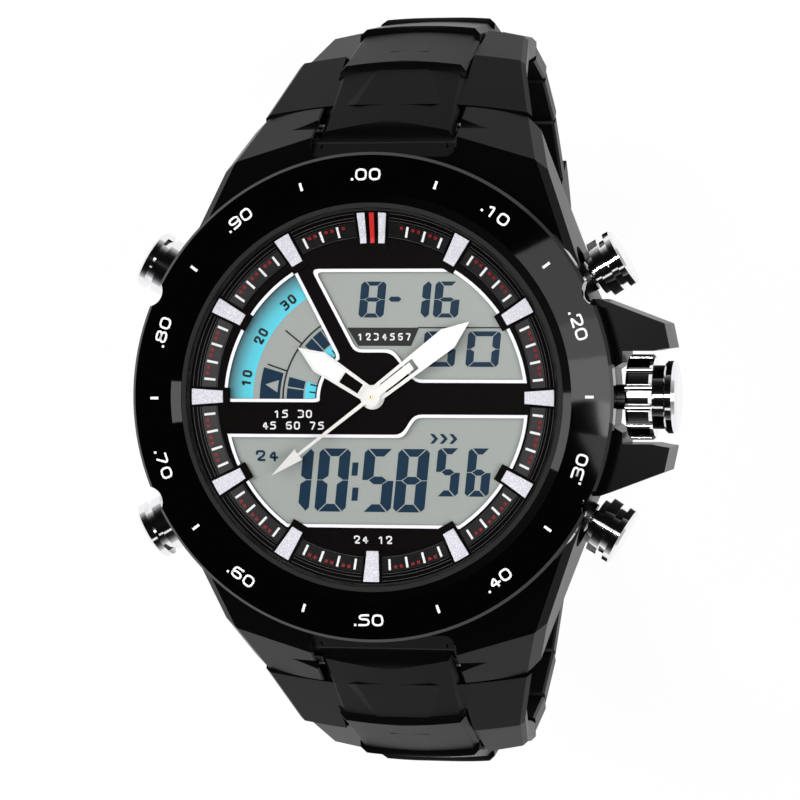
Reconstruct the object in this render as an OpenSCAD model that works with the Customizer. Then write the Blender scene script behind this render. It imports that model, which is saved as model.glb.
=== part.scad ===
// Analogue and digital sports watch on a folding-clasp bracelet.
// The back of the case lies on Z = 0, +Z is the way the dial faces,
// +X points to 3 o'clock and +Y to 12 o'clock. Millimetres.

/* [Case] */
// Outer radius of the bezel ring
bezel_r = 25; // [24:0.1:27]
// Height of the bezel ring
bezel_h = 2.9; // [2.6:0.1:3.6]
// Width of the bezel's sloping face and its outer edge
bezel_face_w = 4.2; // [3.8:0.1:4.4]
// Depth of the four finger nicks in the bezel edge
nick_depth = 0.8; // [0.3:0.1:1.2]
// Radius of the cutter that makes a finger nick
nick_r = 1.6; // [1.2:0.1:2.5]
// How far the bezel overhangs the case barrel
bezel_overhang = 0.6; // [0.2:0.1:1]
// Height of the case body from its underside to the bezel seat
body_h = 11.7; // [11:0.1:13.5]
// How far the case back stands proud of the body
back_proud = 0.9; // [0.3:0.1:1]
// Thickness of the case back plate
back_t = 1.6; // [1.5:0.1:2]
// Margin of the case round the case back plate
back_margin = 3.8; // [3:0.1:4.2]
// Thickness of the case wall round the movement
case_wall = 6.8; // [6.6:0.1:7.4]
// Clock angle at which the lugs leave the barrel
lug_root_angle = 57; // [55:0.5:59]
// How far the lugs stand out of the barrel there
lug_root_proud = 0.5; // [0.2:0.1:0.8]
// Slope of the lug's end facet, in degrees below level
facet_slope = 59; // [57:1:61]
// Outward tilt of the end facet, in degrees
facet_tilt = 16; // [14:1:18]
// Slope of the lug's shoulder, in degrees below level
shoulder_slope = 26; // [23:1:29]
// Outward tilt of the shoulder, in degrees
shoulder_tilt = 10.5; // [8:0.5:13]
// Height of the corner between shoulder and end facet over the spring bar
shoulder_rise = 5.5; // [5:0.1:6]
// Width of the bevels along the lugs' outer edges
lug_bevel = 0.45; // [0.3:0.05:0.6]
// How far the crown guards stand out of the barrel
guard_proud = 5.7; // [4.9:0.1:6.2]
// Height of the crown guards
guard_h = 8; // [7:0.1:8.6]

/* [Crystal and dial] */
// Width of the bezel from its outer edge to the crystal
crystal_inset = 5.65; // [5.4:0.05:5.9]
// Thickness of the crystal
crystal_t = 0.95; // [0.8:0.05:1.1]
// Drop from the bezel's top face to the dial
dial_drop = 2.1; // [2:0.05:2.4]
// Thickness of the dial
dial_t = 0.3; // [0.2:0.05:0.4]
// Width of the chapter ring
ring_w = 3; // [2.8:0.05:3.1]
// Black margin between the chapter ring and the display windows
window_margin = 0.4; // [0.3:0.05:0.6]
// Rounding of the windows' corners
window_corner = 0.8; // [0.4:0.1:0.8]
// Width of the white frames round the display windows
frame_w = 0.32; // [0.25:0.01:0.45]
// Height of the window frames over the dial
frame_h = 0.12; // [0.08:0.01:0.14]
// Thickness of the display panel
lcd_t = 0.5; // [0.4:0.05:0.7]
// Width of an hour marker at its outer end
marker_w = 1.65; // [1.4:0.05:2]
// Height of an hour marker over its holder
marker_h = 0.2; // [0.12:0.01:0.22]
// Height of the markers' black holders over the chapter ring
holder_h = 0.1; // [0.06:0.01:0.12]
// Rim of a holder round its marker
holder_rim = 0.28; // [0.2:0.02:0.4]
// Reach of a holder's inner tab over the dial
holder_tab = 0.75; // [0.6:0.05:1]
// Reach of the markers over the dial
marker_reach = 0.5; // [0.3:0.05:0.6]

/* [Hands] */
// Length of the hour hand
hour_len = 9.3; // [8:0.1:10]
// Length of the minute hand
minute_len = 12.7; // [11.5:0.1:13.5]
// Length of the second hand
second_len = 13.2; // [12:0.1:14]
// Direction of the hour hand, clockwise from 12
hour_angle = 303; // [0:1:360]
// Direction of the minute hand, clockwise from 12
minute_angle = 52.6; // [0:0.1:360]
// Direction of the second hand, clockwise from 12
second_angle = 232.3; // [0:0.1:360]
// Thickness of each hand
hand_t = 0.13; // [0.1:0.01:0.14]
// Gap between one hand and the next, and under the hour hand
hand_gap = 0.15; // [0.14:0.01:0.17]

/* [Crown and pushers] */
// Height of the crown and pusher axes over the case back
crown_z = 6.9; // [6.5:0.1:7.2]
// Radius of the fluted part of the crown
crown_r = 4.4; // [4:0.1:4.5]
// Length of the fluted part of the crown
crown_flute_l = 2.7; // [2.3:0.1:3]
// Number of flutes round the crown
crown_flutes = 14; // [10:1:18]
// Gap between the barrel and the crown's inner face
crown_stand = 1.2; // [1.1:0.1:1.5]
// How far the crown pulls out
crown_pull = 1.2; // [0.8:0.1:1.5]
// Radius of a pusher's cap
pusher_r = 3.1; // [2.8:0.1:3.3]
// How far a pusher's face stands out of the barrel
pusher_proud = 4.5; // [4.2:0.1:5.2]
// Travel of a pusher
pusher_travel = 0.8; // [0.5:0.1:0.9]
// Clock angle of the upper right pusher; the others mirror it
pusher_angle = 60; // [58:0.5:62]

/* [Bracelet] */
// Radius of the circle through the link pins of the closed bracelet
loop_r = 39; // [38:0.1:41]
// Drop from the case back to the centre of that circle
loop_drop = 24.9; // [24.4:0.1:25.4]
// Angle of the lugs' spring bars on that circle, above level
first_pin_angle = 44.6; // [44:0.1:45.4]
// Distance from pin to pin
link_pitch = 10.25; // [10.15:0.01:10.35]
// Number of links between the upper lugs and the clasp
upper_links = 6; // [6:1:6]
// Number of links between the lower lugs and the clasp
lower_links = 7; // [7:1:7]
// Half width of the bracelet at the lugs
lug_half = 14.4; // [13.5:0.1:15]
// Half width of the bracelet at the clasp
tail_half = 9.2; // [8.9:0.1:9.8]
// Share of the extra width that is left after each link
taper_rate = 0.6; // [0.5:0.02:0.7]
// Gap between the lugs' inner walls and the first link's tongue
recess_gap = 0.45; // [0.3:0.05:0.6]
// Half width of the centre row at the lugs
centre_lug_half = 7.1; // [6.8:0.05:7.3]
// Half width of the centre row at the clasp
centre_tail_half = 6; // [5.8:0.05:6.3]
// Height of the centre row's crown over the pins
centre_out = 2.4; // [2.2:0.05:2.5]
// Radius of the slight crown across the centre row
row_crown_r = 57; // [45:1:80]
// Height of the side rows' outer edge over the pins
wing_out = 0.3; // [0.25:0.05:0.5]
// Outward slope of the side rows, in degrees
wing_slope = 12; // [11:0.5:13]
// Depth of a link below its pins
link_in = 1.9; // [1.7:0.05:2]
// Rounding radius of a tongue about its pin
tongue_r = 3.2; // [3:0.05:3.4]
// Rounding radius of a side row's end about its pin
knuckle_r = 2.4; // [2.2:0.05:2.6]
// Rounding radius of the first link's longer tongue
first_tongue_r = 4.6; // [4.3:0.1:4.8]
// Rounding of the first tongue's near end
first_tongue_round = 2.9; // [2:0.1:3]
// Rounding of the other tongues' near ends
tongue_round = 0.7; // [0.4:0.1:1]
// Bevel along the edges of the rows
row_bevel = 0.5; // [0.35:0.05:0.6]
// Gap between neighbouring links in the centre row
link_gap = 0.15; // [0.12:0.01:0.2]
// Gap between neighbouring links in the side rows
wing_gap = 0.35; // [0.2:0.01:0.4]
// Radius of a link pin
pin_r = 0.4; // [0.35:0.05:0.45]
// How far the pins stop short of the side rows' outer faces
pin_cover = 1.2; // [1.1:0.1:1.6]
// Radius of the spring bars
bar_r = 0.75; // [0.65:0.05:0.8]

/* [Clasp] */
// Half width of the clasp cover
clasp_half = 9.3; // [9.1:0.1:9.6]
// Thickness of the clasp's side walls
clasp_wall = 1; // [0.8:0.1:1.1]
// Outer radius of the cover about the loop's centre, over the pins
cover_rise = 3; // [2.9:0.05:3.2]
// Level of the cover's flat middle, over the pins
cover_flat = 1.9; // [1.7:0.05:2]
// Thickness of each blade
blade_t = 1; // [0.9:0.05:1.05]
// Gap between the cover and the blades
blade_gap = 0.3; // [0.25:0.01:0.32]
// Travel of a clasp button
button_travel = 0.5; // [0.4:0.05:0.6]

// Distance of the cover's hinge from the lower chain's last pin, along the loop
cover_hinge_run = 6.1; // [5.5:0.1:6.5]
// Distance of the blades' hinge from the upper chain's last pin, along the loop
blade_hinge_run = 8.2; // [7.8:0.1:9]

/* [Movement] */
// Radius of the battery
battery_r = 4.75; // [4.5:0.05:4.75]
// Height of the battery without its cap
battery_h = 2.1; // [1.6:0.1:2.1]
// Length of the motor coil
coil_l = 7; // [6:0.1:7.4]
// Length of the crown stem inside the cavity
stem_l = 5.6; // [5:0.1:6]

/* [Fits] */
// Running clearance of the pins and stems, on the radius
run_gap = 0.04; // [0.02:0.01:0.06]
// Clearance of seated pieces, on the radius
seat_gap = 0.02; // [0.01:0.005:0.03]

/* [Hidden] */
$fn = 96;
reach = 60;
body_z = back_proud;
seat_z = body_z + body_h;
bezel_z = seat_z + bezel_h;
barrel_r = bezel_r - bezel_overhang;
bezel_face_r = bezel_r - bezel_face_w;
crystal_r = bezel_r - crystal_inset;
cavity_r = barrel_r - case_wall;
back_r = barrel_r - back_margin;
lug_root_half = (barrel_r + lug_root_proud) * sin(lug_root_angle);
lug_root_y = (barrel_r + lug_root_proud) * cos(lug_root_angle);
guard_reach = barrel_r + guard_proud;
crown_start = barrel_r + crown_stand;
pusher_reach = barrel_r + pusher_proud;
recess_half = centre_lug_half + recess_gap;
dial_z = bezel_z - dial_drop;
crystal_top = bezel_z - 0.1;
crystal_z = crystal_top - crystal_t;
gasket_w = 0.5;
bore_r = crystal_r + gasket_w + seat_gap;
gasket_z = crystal_z - 0.1;
ring_r = crystal_r - 0.1;
ring_top = crystal_z - holder_h - marker_h - 0.05;
dial_view_r = ring_r - ring_w;
window_r = dial_view_r - window_margin;
lcd_z = dial_z - dial_t - lcd_t;
dial_r = cavity_r - 0.3;
hour_z = dial_z + frame_h + hand_gap;
minute_z = hour_z + hand_t + hand_gap;
second_z = minute_z + hand_t + hand_gap;
loop_z = -loop_drop;
link_step = 2 * asin(link_pitch / 2 / loop_r);
arbor_r = 0.16;
cannon_r = 0.42;
pipe_r = 0.75;
gear_mod = 0.15;
cannon_teeth = 10;
minute_teeth = 30;
minute_pinion_teeth = 8;
hour_teeth = 32;
gear_centre = gear_mod * (cannon_teeth + minute_teeth) / 2;
works_z = lcd_z - 1.6;
holder_z = body_z + 4.4;
tube_r = 1.3;
stem_r = 0.55;
pusher_tube_r = 1.6;
pusher_stem_r = 1.05;
skirt_r = 2.4;
cover_r = loop_r + cover_rise;
floor_r = loop_r + 1;
blade_a_r = floor_r - blade_gap;
blade_b_r = blade_a_r - blade_t - blade_gap;
cover_hinge_a = -180 - pin_a(lower_links) + along_loop(cover_hinge_run);
cover_hinge_r = blade_a_r - blade_t + 0.2;
blade_hinge_a = pin_a(upper_links) - along_loop(blade_hinge_run);
blade_hinge_r = (blade_a_r + blade_b_r) / 2 - blade_t / 2;
blade_knuckle = 0.95;
blade_gap_half = 3.1;
hinge_pin_r = 0.45;
button_a = (pin_a(upper_links) - 180 - pin_a(lower_links)) / 2;
battery_place = [-7.5, -4.5, holder_z];
coil_place = [6.5, 0, holder_z + 1];
stem_start = cavity_r - stem_l;
groove_x = stem_start + 2;
groove_w = 0.8;

black = [0.05, 0.05, 0.055];
gloss = [0.02, 0.02, 0.022];
steel = [0.75, 0.76, 0.78];
white = [0.93, 0.93, 0.95];

function unit(v) = v / norm(v);

// Places on the bracelet

function pin_a(k) = first_pin_angle - k * link_step;
function along_loop(run) = 2 * asin(run / 2 / loop_r);
function pin_y(k) = loop_r * cos(pin_a(k));
function pin_z(k) = loop_z + loop_r * sin(pin_a(k));
function link_tilt(k) = 90 - (pin_a(k - 1) + pin_a(k)) / 2;
function wing_half(k) = tail_half + (lug_half - tail_half) * pow(taper_rate, k);
function centre_half(k) = centre_tail_half
    + (centre_lug_half - centre_tail_half) * pow(0.75, k);

// Link k's own frame: its first pin at the origin, the next one along +Y, outwards +Z
module at_link(k) {
    translate([0, pin_y(k - 1), pin_z(k - 1)]) rotate([-link_tilt(k), 0, 0]) children();
}

// A point on the loop: +Y outwards from the loop's centre
module at_loop(angle) {
    translate([0, 0, loop_z]) rotate([angle, 0, 0]) children();
}

// Stands a drawing in Y and Z across the watch, to half to each side
module across(half) {
    rotate([90, 0, 90]) linear_extrude(2 * half, center = true) children();
}

// Stands a drawing in Y and Z across the watch from x0 to x1, on both sides
module both_sides(x0, x1) {
    for (m = [0, 1]) mirror([m, 0, 0])
        translate([x0, 0, 0]) rotate([90, 0, 90]) linear_extrude(x1 - x0) children();
}

module both_ends() {
    children();
    mirror([0, 1, 0]) children();
}

// Turns +X towards a clock angle, at the height of the crown
module at_clock(angle) {
    translate([0, 0, crown_z]) rotate([0, 0, 90 - angle]) children();
}

// A rod or disc along +X, from x0 to x1
module rod(r, x0, x1) {
    translate([x0, 0, 0]) rotate([0, 90, 0]) cylinder(r = r, h = x1 - x0);
}

// A straight-sided piece that tapers from half width a at y0 to b at y1, with the drawing,
// made inwards from X = 0, as its edge on both sides
module between_edges(a, b, y0, y1) {
    turn = atan((a - b) / (y1 - y0));
    intersection_for(m = [0, 1]) mirror([m, 0, 0])
        translate([a, y0, 0]) rotate([0, 0, turn]) rotate([90, 0, 0])
            linear_extrude(2 * reach, center = true) children();
}

// Bracelet links

module wing_edge() {
    polygon([[-reach, -link_in], [-row_bevel / 2, -link_in], [0, row_bevel / 2 - link_in],
        [0, wing_out - row_bevel], [-row_bevel, wing_out],
        [-reach, wing_out + (reach - row_bevel) * tan(wing_slope)]]);
}

module centre_edge() {
    edge_top = centre_out - row_crown_r + sqrt(pow(row_crown_r, 2) - pow(centre_lug_half, 2));
    polygon([[-reach, -link_in], [0, -link_in], [0, edge_top - row_bevel],
        [-reach, edge_top - row_bevel + reach]]);
}

// Centre row from half width a at y0 to b at y1, bevelled at its edges and crowned across
module centre_row(a, b, y0, y1) {
    intersection() {
        between_edges(a, b, y0, y1) centre_edge();
        translate([0, -reach, centre_out - row_crown_r]) rotate([-90, 0, 0])
            cylinder(r = row_crown_r, h = 2 * reach);
    }
}

// Side view of a centre row: a nose of radius r about the first pin, with the corner
// between the nose and the top rounded by round_r, tangent to both
module nose_profile(r, round_r, length) {
    rise = centre_out - round_r;
    centre = [-sqrt(pow(r - round_r, 2) - pow(rise, 2)), rise];
    touch_z = rise * r / norm(centre);
    intersection() {
        union() {
            circle(r = r);
            translate([0, -reach]) square([length, 2 * reach]);
        }
        union() {
            translate(centre) circle(r = round_r);
            translate([centre[0], -link_in]) square([length - centre[0], link_in + centre_out]);
            if (touch_z > -link_in)
                translate([-2 * r, -link_in]) square([2 * r + length, link_in + touch_z]);
        }
        translate([-2 * r, -link_in]) square([2 * r + length, link_in + centre_out]);
    }
}

// Side view of the two side rows, hollowed at the front and rounded at the rear
module wing_profile() {
    difference() {
        intersection() {
            union() {
                translate([0, -reach]) square([link_pitch, 2 * reach]);
                translate([link_pitch, 0]) circle(r = knuckle_r);
            }
            translate([-reach, -link_in]) square([2 * reach, link_in + centre_out]);
        }
        circle(r = knuckle_r + wing_gap);
    }
}

// Room between the side rows for the next tongue, which turns about the rear pin
module next_tongue_room(half) {
    across(half + link_gap) {
        circle(r = tongue_r + link_gap);
        translate([0, -reach]) square([reach, 2 * reach]);
    }
}

// Rod across link k's side rows, up to the pin's ends
module pin_rod(k, r) rod(r, pin_cover - wing_half(k), wing_half(k) - pin_cover);

// One link: k counts from the lugs, front_r and round_r shape its tongue, bore_front fits
// its first pin
module link_body(k, front_r, round_r, bore_front) {
    c0 = centre_half(k - 1);
    c1 = centre_half(k);
    difference() {
        union() {
            intersection() {
                across(reach) nose_profile(front_r, round_r, link_pitch);
                centre_row(c0, c1, -tongue_r, link_pitch - tongue_r);
            }
            intersection() {
                across(reach) wing_profile();
                between_edges(wing_half(k - 1), wing_half(k), knuckle_r,
                    link_pitch + knuckle_r) wing_edge();
            }
        }
        translate([0, link_pitch, 0]) next_tongue_room(c1);
        if (k > upper_links) translate([0, link_pitch, 0]) across(c1 + link_gap)
            translate([-tongue_r - 2 * link_gap, -reach]) square([reach, reach - 0.3]);
        rod(bore_front, -reach, reach);
        translate([0, link_pitch, 0]) pin_rod(k, pin_r + seat_gap);
        // The side rows begin behind the first pin
        both_sides(c0, reach) translate([-reach, -reach]) square([reach, 2 * reach]);
    }
}

// Pin pressed into the rear of link k, covered by its side rows
module link_pin(k) translate([0, link_pitch, 0]) pin_rod(k, pin_r);

module link(k, has_pin) {
    color(black) {
        link_body(k, k == 1 ? first_tongue_r : tongue_r,
            k == 1 ? first_tongue_round : tongue_round,
            k == 1 ? bar_r + run_gap : pin_r + run_gap);
        if (has_pin) link_pin(k);
    }
}

module upper_link(k) at_link(k) link(k, true);
module lower_link(k) mirror([0, 1, 0]) at_link(k) link(k, k < lower_links);

// Case

module lug_profile() {
    difference() {
        union() {
            polygon([[0, body_z], [pin_y(0) - knuckle_r, body_z], [pin_y(0), pin_z(0) - link_in],
                [pin_y(0), seat_z], [0, seat_z]]);
            intersection() {
                translate([pin_y(0), pin_z(0)]) circle(r = knuckle_r);
                translate([0, pin_z(0) - link_in]) square([reach, reach]);
            }
        }
    }
}

// Normal of a face that slopes down along +Y and tilts outwards along +X
function face_normal(slope, tilt) = [sin(tilt), cos(tilt) * sin(slope), cos(tilt) * cos(slope)];

// Height at x and y of the plane through p with normal n
function plane_z(p, n, x, y) = p[2] - (n[0] * (x - p[0]) + n[1] * (y - p[1])) / n[2];

// Cuts away what lies beyond the plane through p, on the side that its normal n points to
module cut_beyond(p, n) {
    translate(p) rotate([0, acos(n[2] / norm(n)), atan2(n[1], n[0])])
        translate([-reach, -reach, 0]) cube(2 * reach);
}

// Bevels the edge through p between two faces with unit normals n1 and n2
module bevel_edge(p, n1, n2, depth) {
    cut_beyond(p - depth * unit(n1 + n2), n1 + n2);
}

facet_n = face_normal(facet_slope, facet_tilt);
shoulder_n = face_normal(shoulder_slope, shoulder_tilt);
lug_tip_y = pin_y(0) + knuckle_r;
lug_side_a = atan((lug_root_half - lug_half) / (lug_tip_y - lug_root_y));
lug_side_n = [cos(lug_side_a), sin(lug_side_a), 0];
// Inner end of the edge between shoulder and end facet
lug_corner = [recess_half, pin_y(0) - 0.9, pin_z(0) + shoulder_rise];

// Both lugs of one end, joined under the bezel
module lug_block() {
    difference() {
        intersection() {
            across(reach) lug_profile();
            linear_extrude(seat_z) difference() {
                polygon([[-lug_root_half, 8], [-lug_root_half, lug_root_y],
                    [-lug_half, lug_tip_y], [lug_half, lug_tip_y],
                    [lug_root_half, lug_root_y], [lug_root_half, 8]]);
                circle(r = (cavity_r + barrel_r) / 2);
            }
        }
        for (m = [0, 1]) mirror([m, 0, 0]) {
            cut_beyond(lug_corner, facet_n);
            cut_beyond(lug_corner, shoulder_n);
            bevel_edge([lug_half, lug_tip_y, plane_z(lug_corner, facet_n, lug_half, lug_tip_y)],
                facet_n, lug_side_n, lug_bevel);
            bevel_edge([lug_root_half, lug_root_y,
                plane_z(lug_corner, shoulder_n, lug_root_half, lug_root_y)],
                shoulder_n, lug_side_n, lug_bevel);
        }
        ledge_recess();
        // Narrow bevel along the top of the recess's walls
        for (m = [0, 1]) mirror([m, 0, 0]) intersection() {
            union() {
                bevel_edge(lug_corner, facet_n, [-1, 0, 0], 0.14);
                bevel_edge(lug_corner, shoulder_n, [-1, 0, 0], 0.14);
            }
            translate([recess_half - 1, barrel_r + 1.3, 0]) cube([2, reach, reach]);
        }
    }
}

// Room between the lugs for the first tongue
module first_tongue_room() {
    across(recess_half) {
        translate([pin_y(0), pin_z(0)]) circle(r = first_tongue_r + link_gap);
        translate([pin_y(0), -reach]) square([reach, 2 * reach]);
    }
}

// Rounded recess over the ledge that slopes down from the bezel to the first tongue
module ledge_recess() {
    corner_r = 0.9;
    wall_y = barrel_r + 0.3;
    ledge_y = pin_y(0) - 1.35;
    ledge_z = pin_z(0) + sqrt(pow(first_tongue_r + link_gap, 2) - pow(pin_y(0) - ledge_y, 2));
    intersection() {
        linear_extrude(reach) polygon([
            for (s = [-1, 1], a = s < 0 ? [180 : 15 : 270] : [270 : 15 : 360])
                [s * (recess_half - corner_r) + corner_r * cos(a), wall_y + corner_r * (1 + sin(a))],
            [recess_half, reach], [-recess_half, reach]]);
        across(reach) polygon([[wall_y - 2, ledge_z + ledge_y - wall_y + 2],
            [ledge_y - 0.2, ledge_z + 0.2], [ledge_y, ledge_z - 0.1], [ledge_y, ledge_z - 4],
            [reach, ledge_z - 4], [reach, reach], [wall_y - 2, reach]]);
    }
}

module crown_guards() {
    inner = crown_r + 0.35;
    translate([0, 0, crown_z + 3.7 - guard_h]) linear_extrude(guard_h) for (m = [0, 1])
        mirror([0, m]) difference() {
            polygon([[barrel_r - 5, 0], [crown_start - 0.3, 0], [crown_start - 0.3, inner],
                [guard_reach, inner], [guard_reach, inner + 0.45],
                [guard_reach - 0.5, inner + 2.8], [barrel_r - 1.4, inner + 5.3],
                [barrel_r - 5, inner + 5.3]]);
            // Hollow flank that follows the crown
            translate([guard_reach + 1.2, inner - 12]) circle(r = 12.35);
        }
}

module case_body() {
    color(black) difference() {
        union() {
            // Barrel with the cavity, the back's seat and the gasket's rabbet
            rotate_extrude() polygon([[back_r + seat_gap, body_z], [barrel_r - 2.4, body_z],
                [barrel_r, body_z + 2.6], [barrel_r, seat_z], [cavity_r, seat_z],
                [cavity_r, back_t + 0.75], [cavity_r + 0.85, back_t + 0.75],
                [cavity_r + 0.85, back_t], [back_r + seat_gap, back_t]]);
            both_ends() lug_block();
            crown_guards();
        }
        back_screw_places() cylinder(r = 0.5 + seat_gap, h = back_t + 3);
        both_ends() {
            first_tongue_room();
            translate([0, pin_y(0), pin_z(0)])
                rod(bar_r + seat_gap, -centre_lug_half - 2, centre_lug_half + 2);
        }
        // Room for the bezel, the crown and its tube
        translate([0, 0, seat_z]) cylinder(r = bezel_r + 6, h = 8);
        translate([0, 0, crown_z]) {
            rod(tube_r, 0, barrel_r + 3);
            rod(crown_r + 0.3, crown_start - 0.3, guard_reach + 6);
        }
        for (a = pusher_clocks()) at_clock(a) {
            rod(pusher_tube_r, 0, barrel_r + 3);
            rod(pusher_r + 0.2, barrel_r, barrel_r + 9);
        }
    }
}

function pusher_clocks() = [pusher_angle, 180 - pusher_angle,
    180 + pusher_angle, 360 - pusher_angle];

module back_screw_places() {
    for (a = [45 : 90 : 315]) rotate([0, 0, a])
        translate([(cavity_r + 0.85 + back_r) / 2, 0, 0]) children();
}

module bezel() {
    color(gloss) difference() {
        rotate_extrude() polygon([[ring_r + seat_gap, seat_z], [bezel_r - 0.35, seat_z],
            [bezel_r, seat_z + 0.35], [bezel_r, bezel_z - 0.75], [bezel_r - 0.3, bezel_z - 0.42],
            [bezel_face_r, bezel_z], [bore_r, bezel_z - 0.5], [bore_r, gasket_z],
            [ring_r + seat_gap, gasket_z]]);
        for (a = pusher_clocks()) {
            side = a < 180 ? 1 : -1;
            lean = abs(a - 180) > 90 ? -1 : 1;
            rotate([0, 0, 90 - a + side * lean * 5])
                translate([bezel_r - nick_depth + nick_r, 0, 0]) cylinder(r = nick_r, h = reach);
        }
    }
}

module crystal() {
    color([0.8, 0.86, 0.9, 0.25])
        rotate_extrude() polygon([[0, crystal_z], [crystal_r, crystal_z],
            [crystal_r, crystal_top - 0.15], [crystal_r - 0.2, crystal_top], [0, crystal_top]]);
}

module crystal_gasket() {
    color([0.03, 0.03, 0.03]) translate([0, 0, gasket_z]) difference() {
        cylinder(r = crystal_r + gasket_w, h = bezel_z - 0.55 - gasket_z);
        translate([0, 0, 0.1]) cylinder(r = crystal_r + seat_gap, h = 5);
        translate([0, 0, -1]) cylinder(r = crystal_r - 0.3, h = 5);
    }
}

// Dial

function ring_height(r) = dial_z + 0.08
    + (ring_top - dial_z - 0.08) * (r - dial_view_r) / (ring_r - 0.35 - dial_view_r);

// Plan of a tapered bar that points to 12 o'clock
module marker_bar(w_in, w_out, r_in, r_out) {
    polygon([[w_out / 2, r_out], [-w_out / 2, r_out], [-w_in / 2, r_in], [w_in / 2, r_in]]);
}

// Plans of the markers: single bars, and three bars side by side at 12 o'clock, each with a
// rim of the given width and moved in by tab at its inner end
module marker_plans(rim, tab) {
    r_in = dial_view_r - marker_reach - tab;
    r_out = ring_r - 0.4 + rim / 2;
    for (i = [1 : 11]) rotate(-30 * i)
        marker_bar(marker_w * 0.73 + 2 * rim, marker_w + 2 * rim, r_in, r_out);
    for (s = [-1, 1]) rotate(3.4 * s) marker_bar(0.62 + 2 * rim, 0.8 + 2 * rim, r_in, r_out);
    marker_bar(0.42 + 2 * rim, 0.5 + 2 * rim, r_in, r_out);
}

// The black holders that the markers lie on, with tabs over the dial
module marker_holders(gap) {
    tab_r = dial_view_r - marker_reach - holder_tab;
    top_r = ring_r - 0.4 + holder_rim / 2;
    intersection() {
        rotate_extrude() polygon([[tab_r - 1, dial_z - gap], [top_r + gap, dial_z - gap],
            [top_r + gap, ring_height(top_r) + holder_h], [dial_view_r, dial_z + 0.08 + holder_h],
            [tab_r - 1, dial_z + 0.08 + holder_h]]);
        translate([0, 0, dial_z - gap]) linear_extrude(3) marker_plans(holder_rim + gap, holder_tab);
    }
}

module chapter_ring() {
    color(gloss) union() {
        rotate_extrude() polygon([[dial_view_r, dial_z], [ring_r, dial_z],
            [ring_r, ring_top], [ring_r - 0.35, ring_top], [dial_view_r, dial_z + 0.08]]);
        marker_holders(0);
    }
}

// Hour markers are a conical band over the holders, cut to tapered bars
module hour_markers() {
    r_in = dial_view_r - marker_reach;
    r_out = ring_r - 0.4;
    low = dial_z + 0.08 + holder_h;
    color(white) intersection() {
        rotate_extrude() polygon([[r_in, low], [dial_view_r, low],
            [r_out, ring_height(r_out) + holder_h], [r_out, ring_height(r_out) + holder_h + marker_h],
            [dial_view_r, low + marker_h], [r_in, low + marker_h]]);
        translate([0, 0, dial_z]) linear_extrude(3) marker_plans(0, 0);
    }
}

function left_of(a, b) = let (d = unit(b - a)) [-d[1], d[0]];
// Moves every edge of an anticlockwise outline inwards by t
function inset(p, t) = [for (i = [0 : len(p) - 1]) let (
    n = len(p),
    n1 = left_of(p[(i + n - 1) % n], p[i]),
    n2 = left_of(p[i], p[(i + 1) % n]))
    p[i] + t * (n1 + n2) / (1 + n1 * n2)];

// Rounds every corner of an outline by a short curve that starts r before it
function rounded(p, r) = [for (i = [0 : len(p) - 1]) let (
    n = len(p),
    a = p[i] + r * unit(p[(i + n - 1) % n] - p[i]),
    b = p[i] + r * unit(p[(i + 1) % n] - p[i]))
    for (s = [0 : 0.25 : 1]) (1 - s) * (1 - s) * a + 2 * s * (1 - s) * p[i] + s * s * b];

upper_window = [[2.3, 4.85], [4.76, 1.77], [20, 1.77], [20, 13.4], [-6.1, 13.4], [-1.53, 4.85]];
lower_window = [[-20, -13.1], [20, -13.1], [20, -1.48], [4.68, -1.48], [3.37, -3.56],
    [-20, -3.56]];
fan_window = [[-4.95, -0.26], [-4.95, 1.4], [-2.91, 4.24], [-9.5, 16.8], [-20, 16.8],
    [-20, -0.26]];
fan_hub_r = 5.2;
// The windows stand a little left of and below the middle, and their outer arcs a little right
windows_place = [-0.38, -0.28];
arcs_place = [0.2, -0.5];

// The three display windows, with every edge moved inwards by t
module windows(t) {
    intersection() {
        translate(arcs_place) circle(r = window_r - t);
        circle(r = dial_view_r - 0.1 - t);
        translate(windows_place) {
            polygon(rounded(inset(upper_window, t), window_corner - t / 2));
            polygon(rounded(inset(lower_window, t), window_corner - t / 2));
            difference() {
                polygon(rounded(inset(fan_window, t), window_corner - t / 2));
                circle(r = fan_hub_r + t);
            }
        }
    }
}

module dial() {
    color([0.03, 0.028, 0.03]) translate([0, 0, dial_z - dial_t]) linear_extrude(dial_t)
        difference() {
            circle(r = dial_r);
            circle(r = pipe_r + 0.2);
            windows(frame_w);
        }
}

module window_frames() {
    color(white) difference() {
        translate([0, 0, dial_z]) linear_extrude(frame_h) difference() {
            windows(0);
            windows(frame_w);
        }
        marker_holders(seat_gap);
    }
}

module lcd_panel() {
    color([0.6, 0.63, 0.61]) translate([0, 0, lcd_z]) linear_extrude(lcd_t) difference() {
        circle(r = dial_r);
        circle(r = pipe_r + 0.2);
    }
}

// Movement

module battery() {
    color(steel) translate(battery_place) {
        cylinder(r = battery_r, h = battery_h);
        translate([0, 0, battery_h]) cylinder(r = battery_r - 0.65, h = 0.5);
    }
}

module circuit_board() {
    color([0.1, 0.32, 0.16]) translate([0, 0, holder_z - 1]) linear_extrude(0.8) difference() {
        circle(r = cavity_r - 0.6);
        for (a = [30 : 120 : 270]) rotate(a) translate([cavity_r - 3.6, 0]) circle(r = 0.7);
    }
}

module motor_coil() {
    color([0.72, 0.4, 0.16]) translate(coil_place) {
        rotate([90, 0, 0]) cylinder(r = 0.9, h = coil_l, center = true);
        for (s = [-1, 1]) translate([0, (coil_l + 1) / 2 * s, 0]) cube([2, 1, 1.9], center = true);
    }
}

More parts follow.
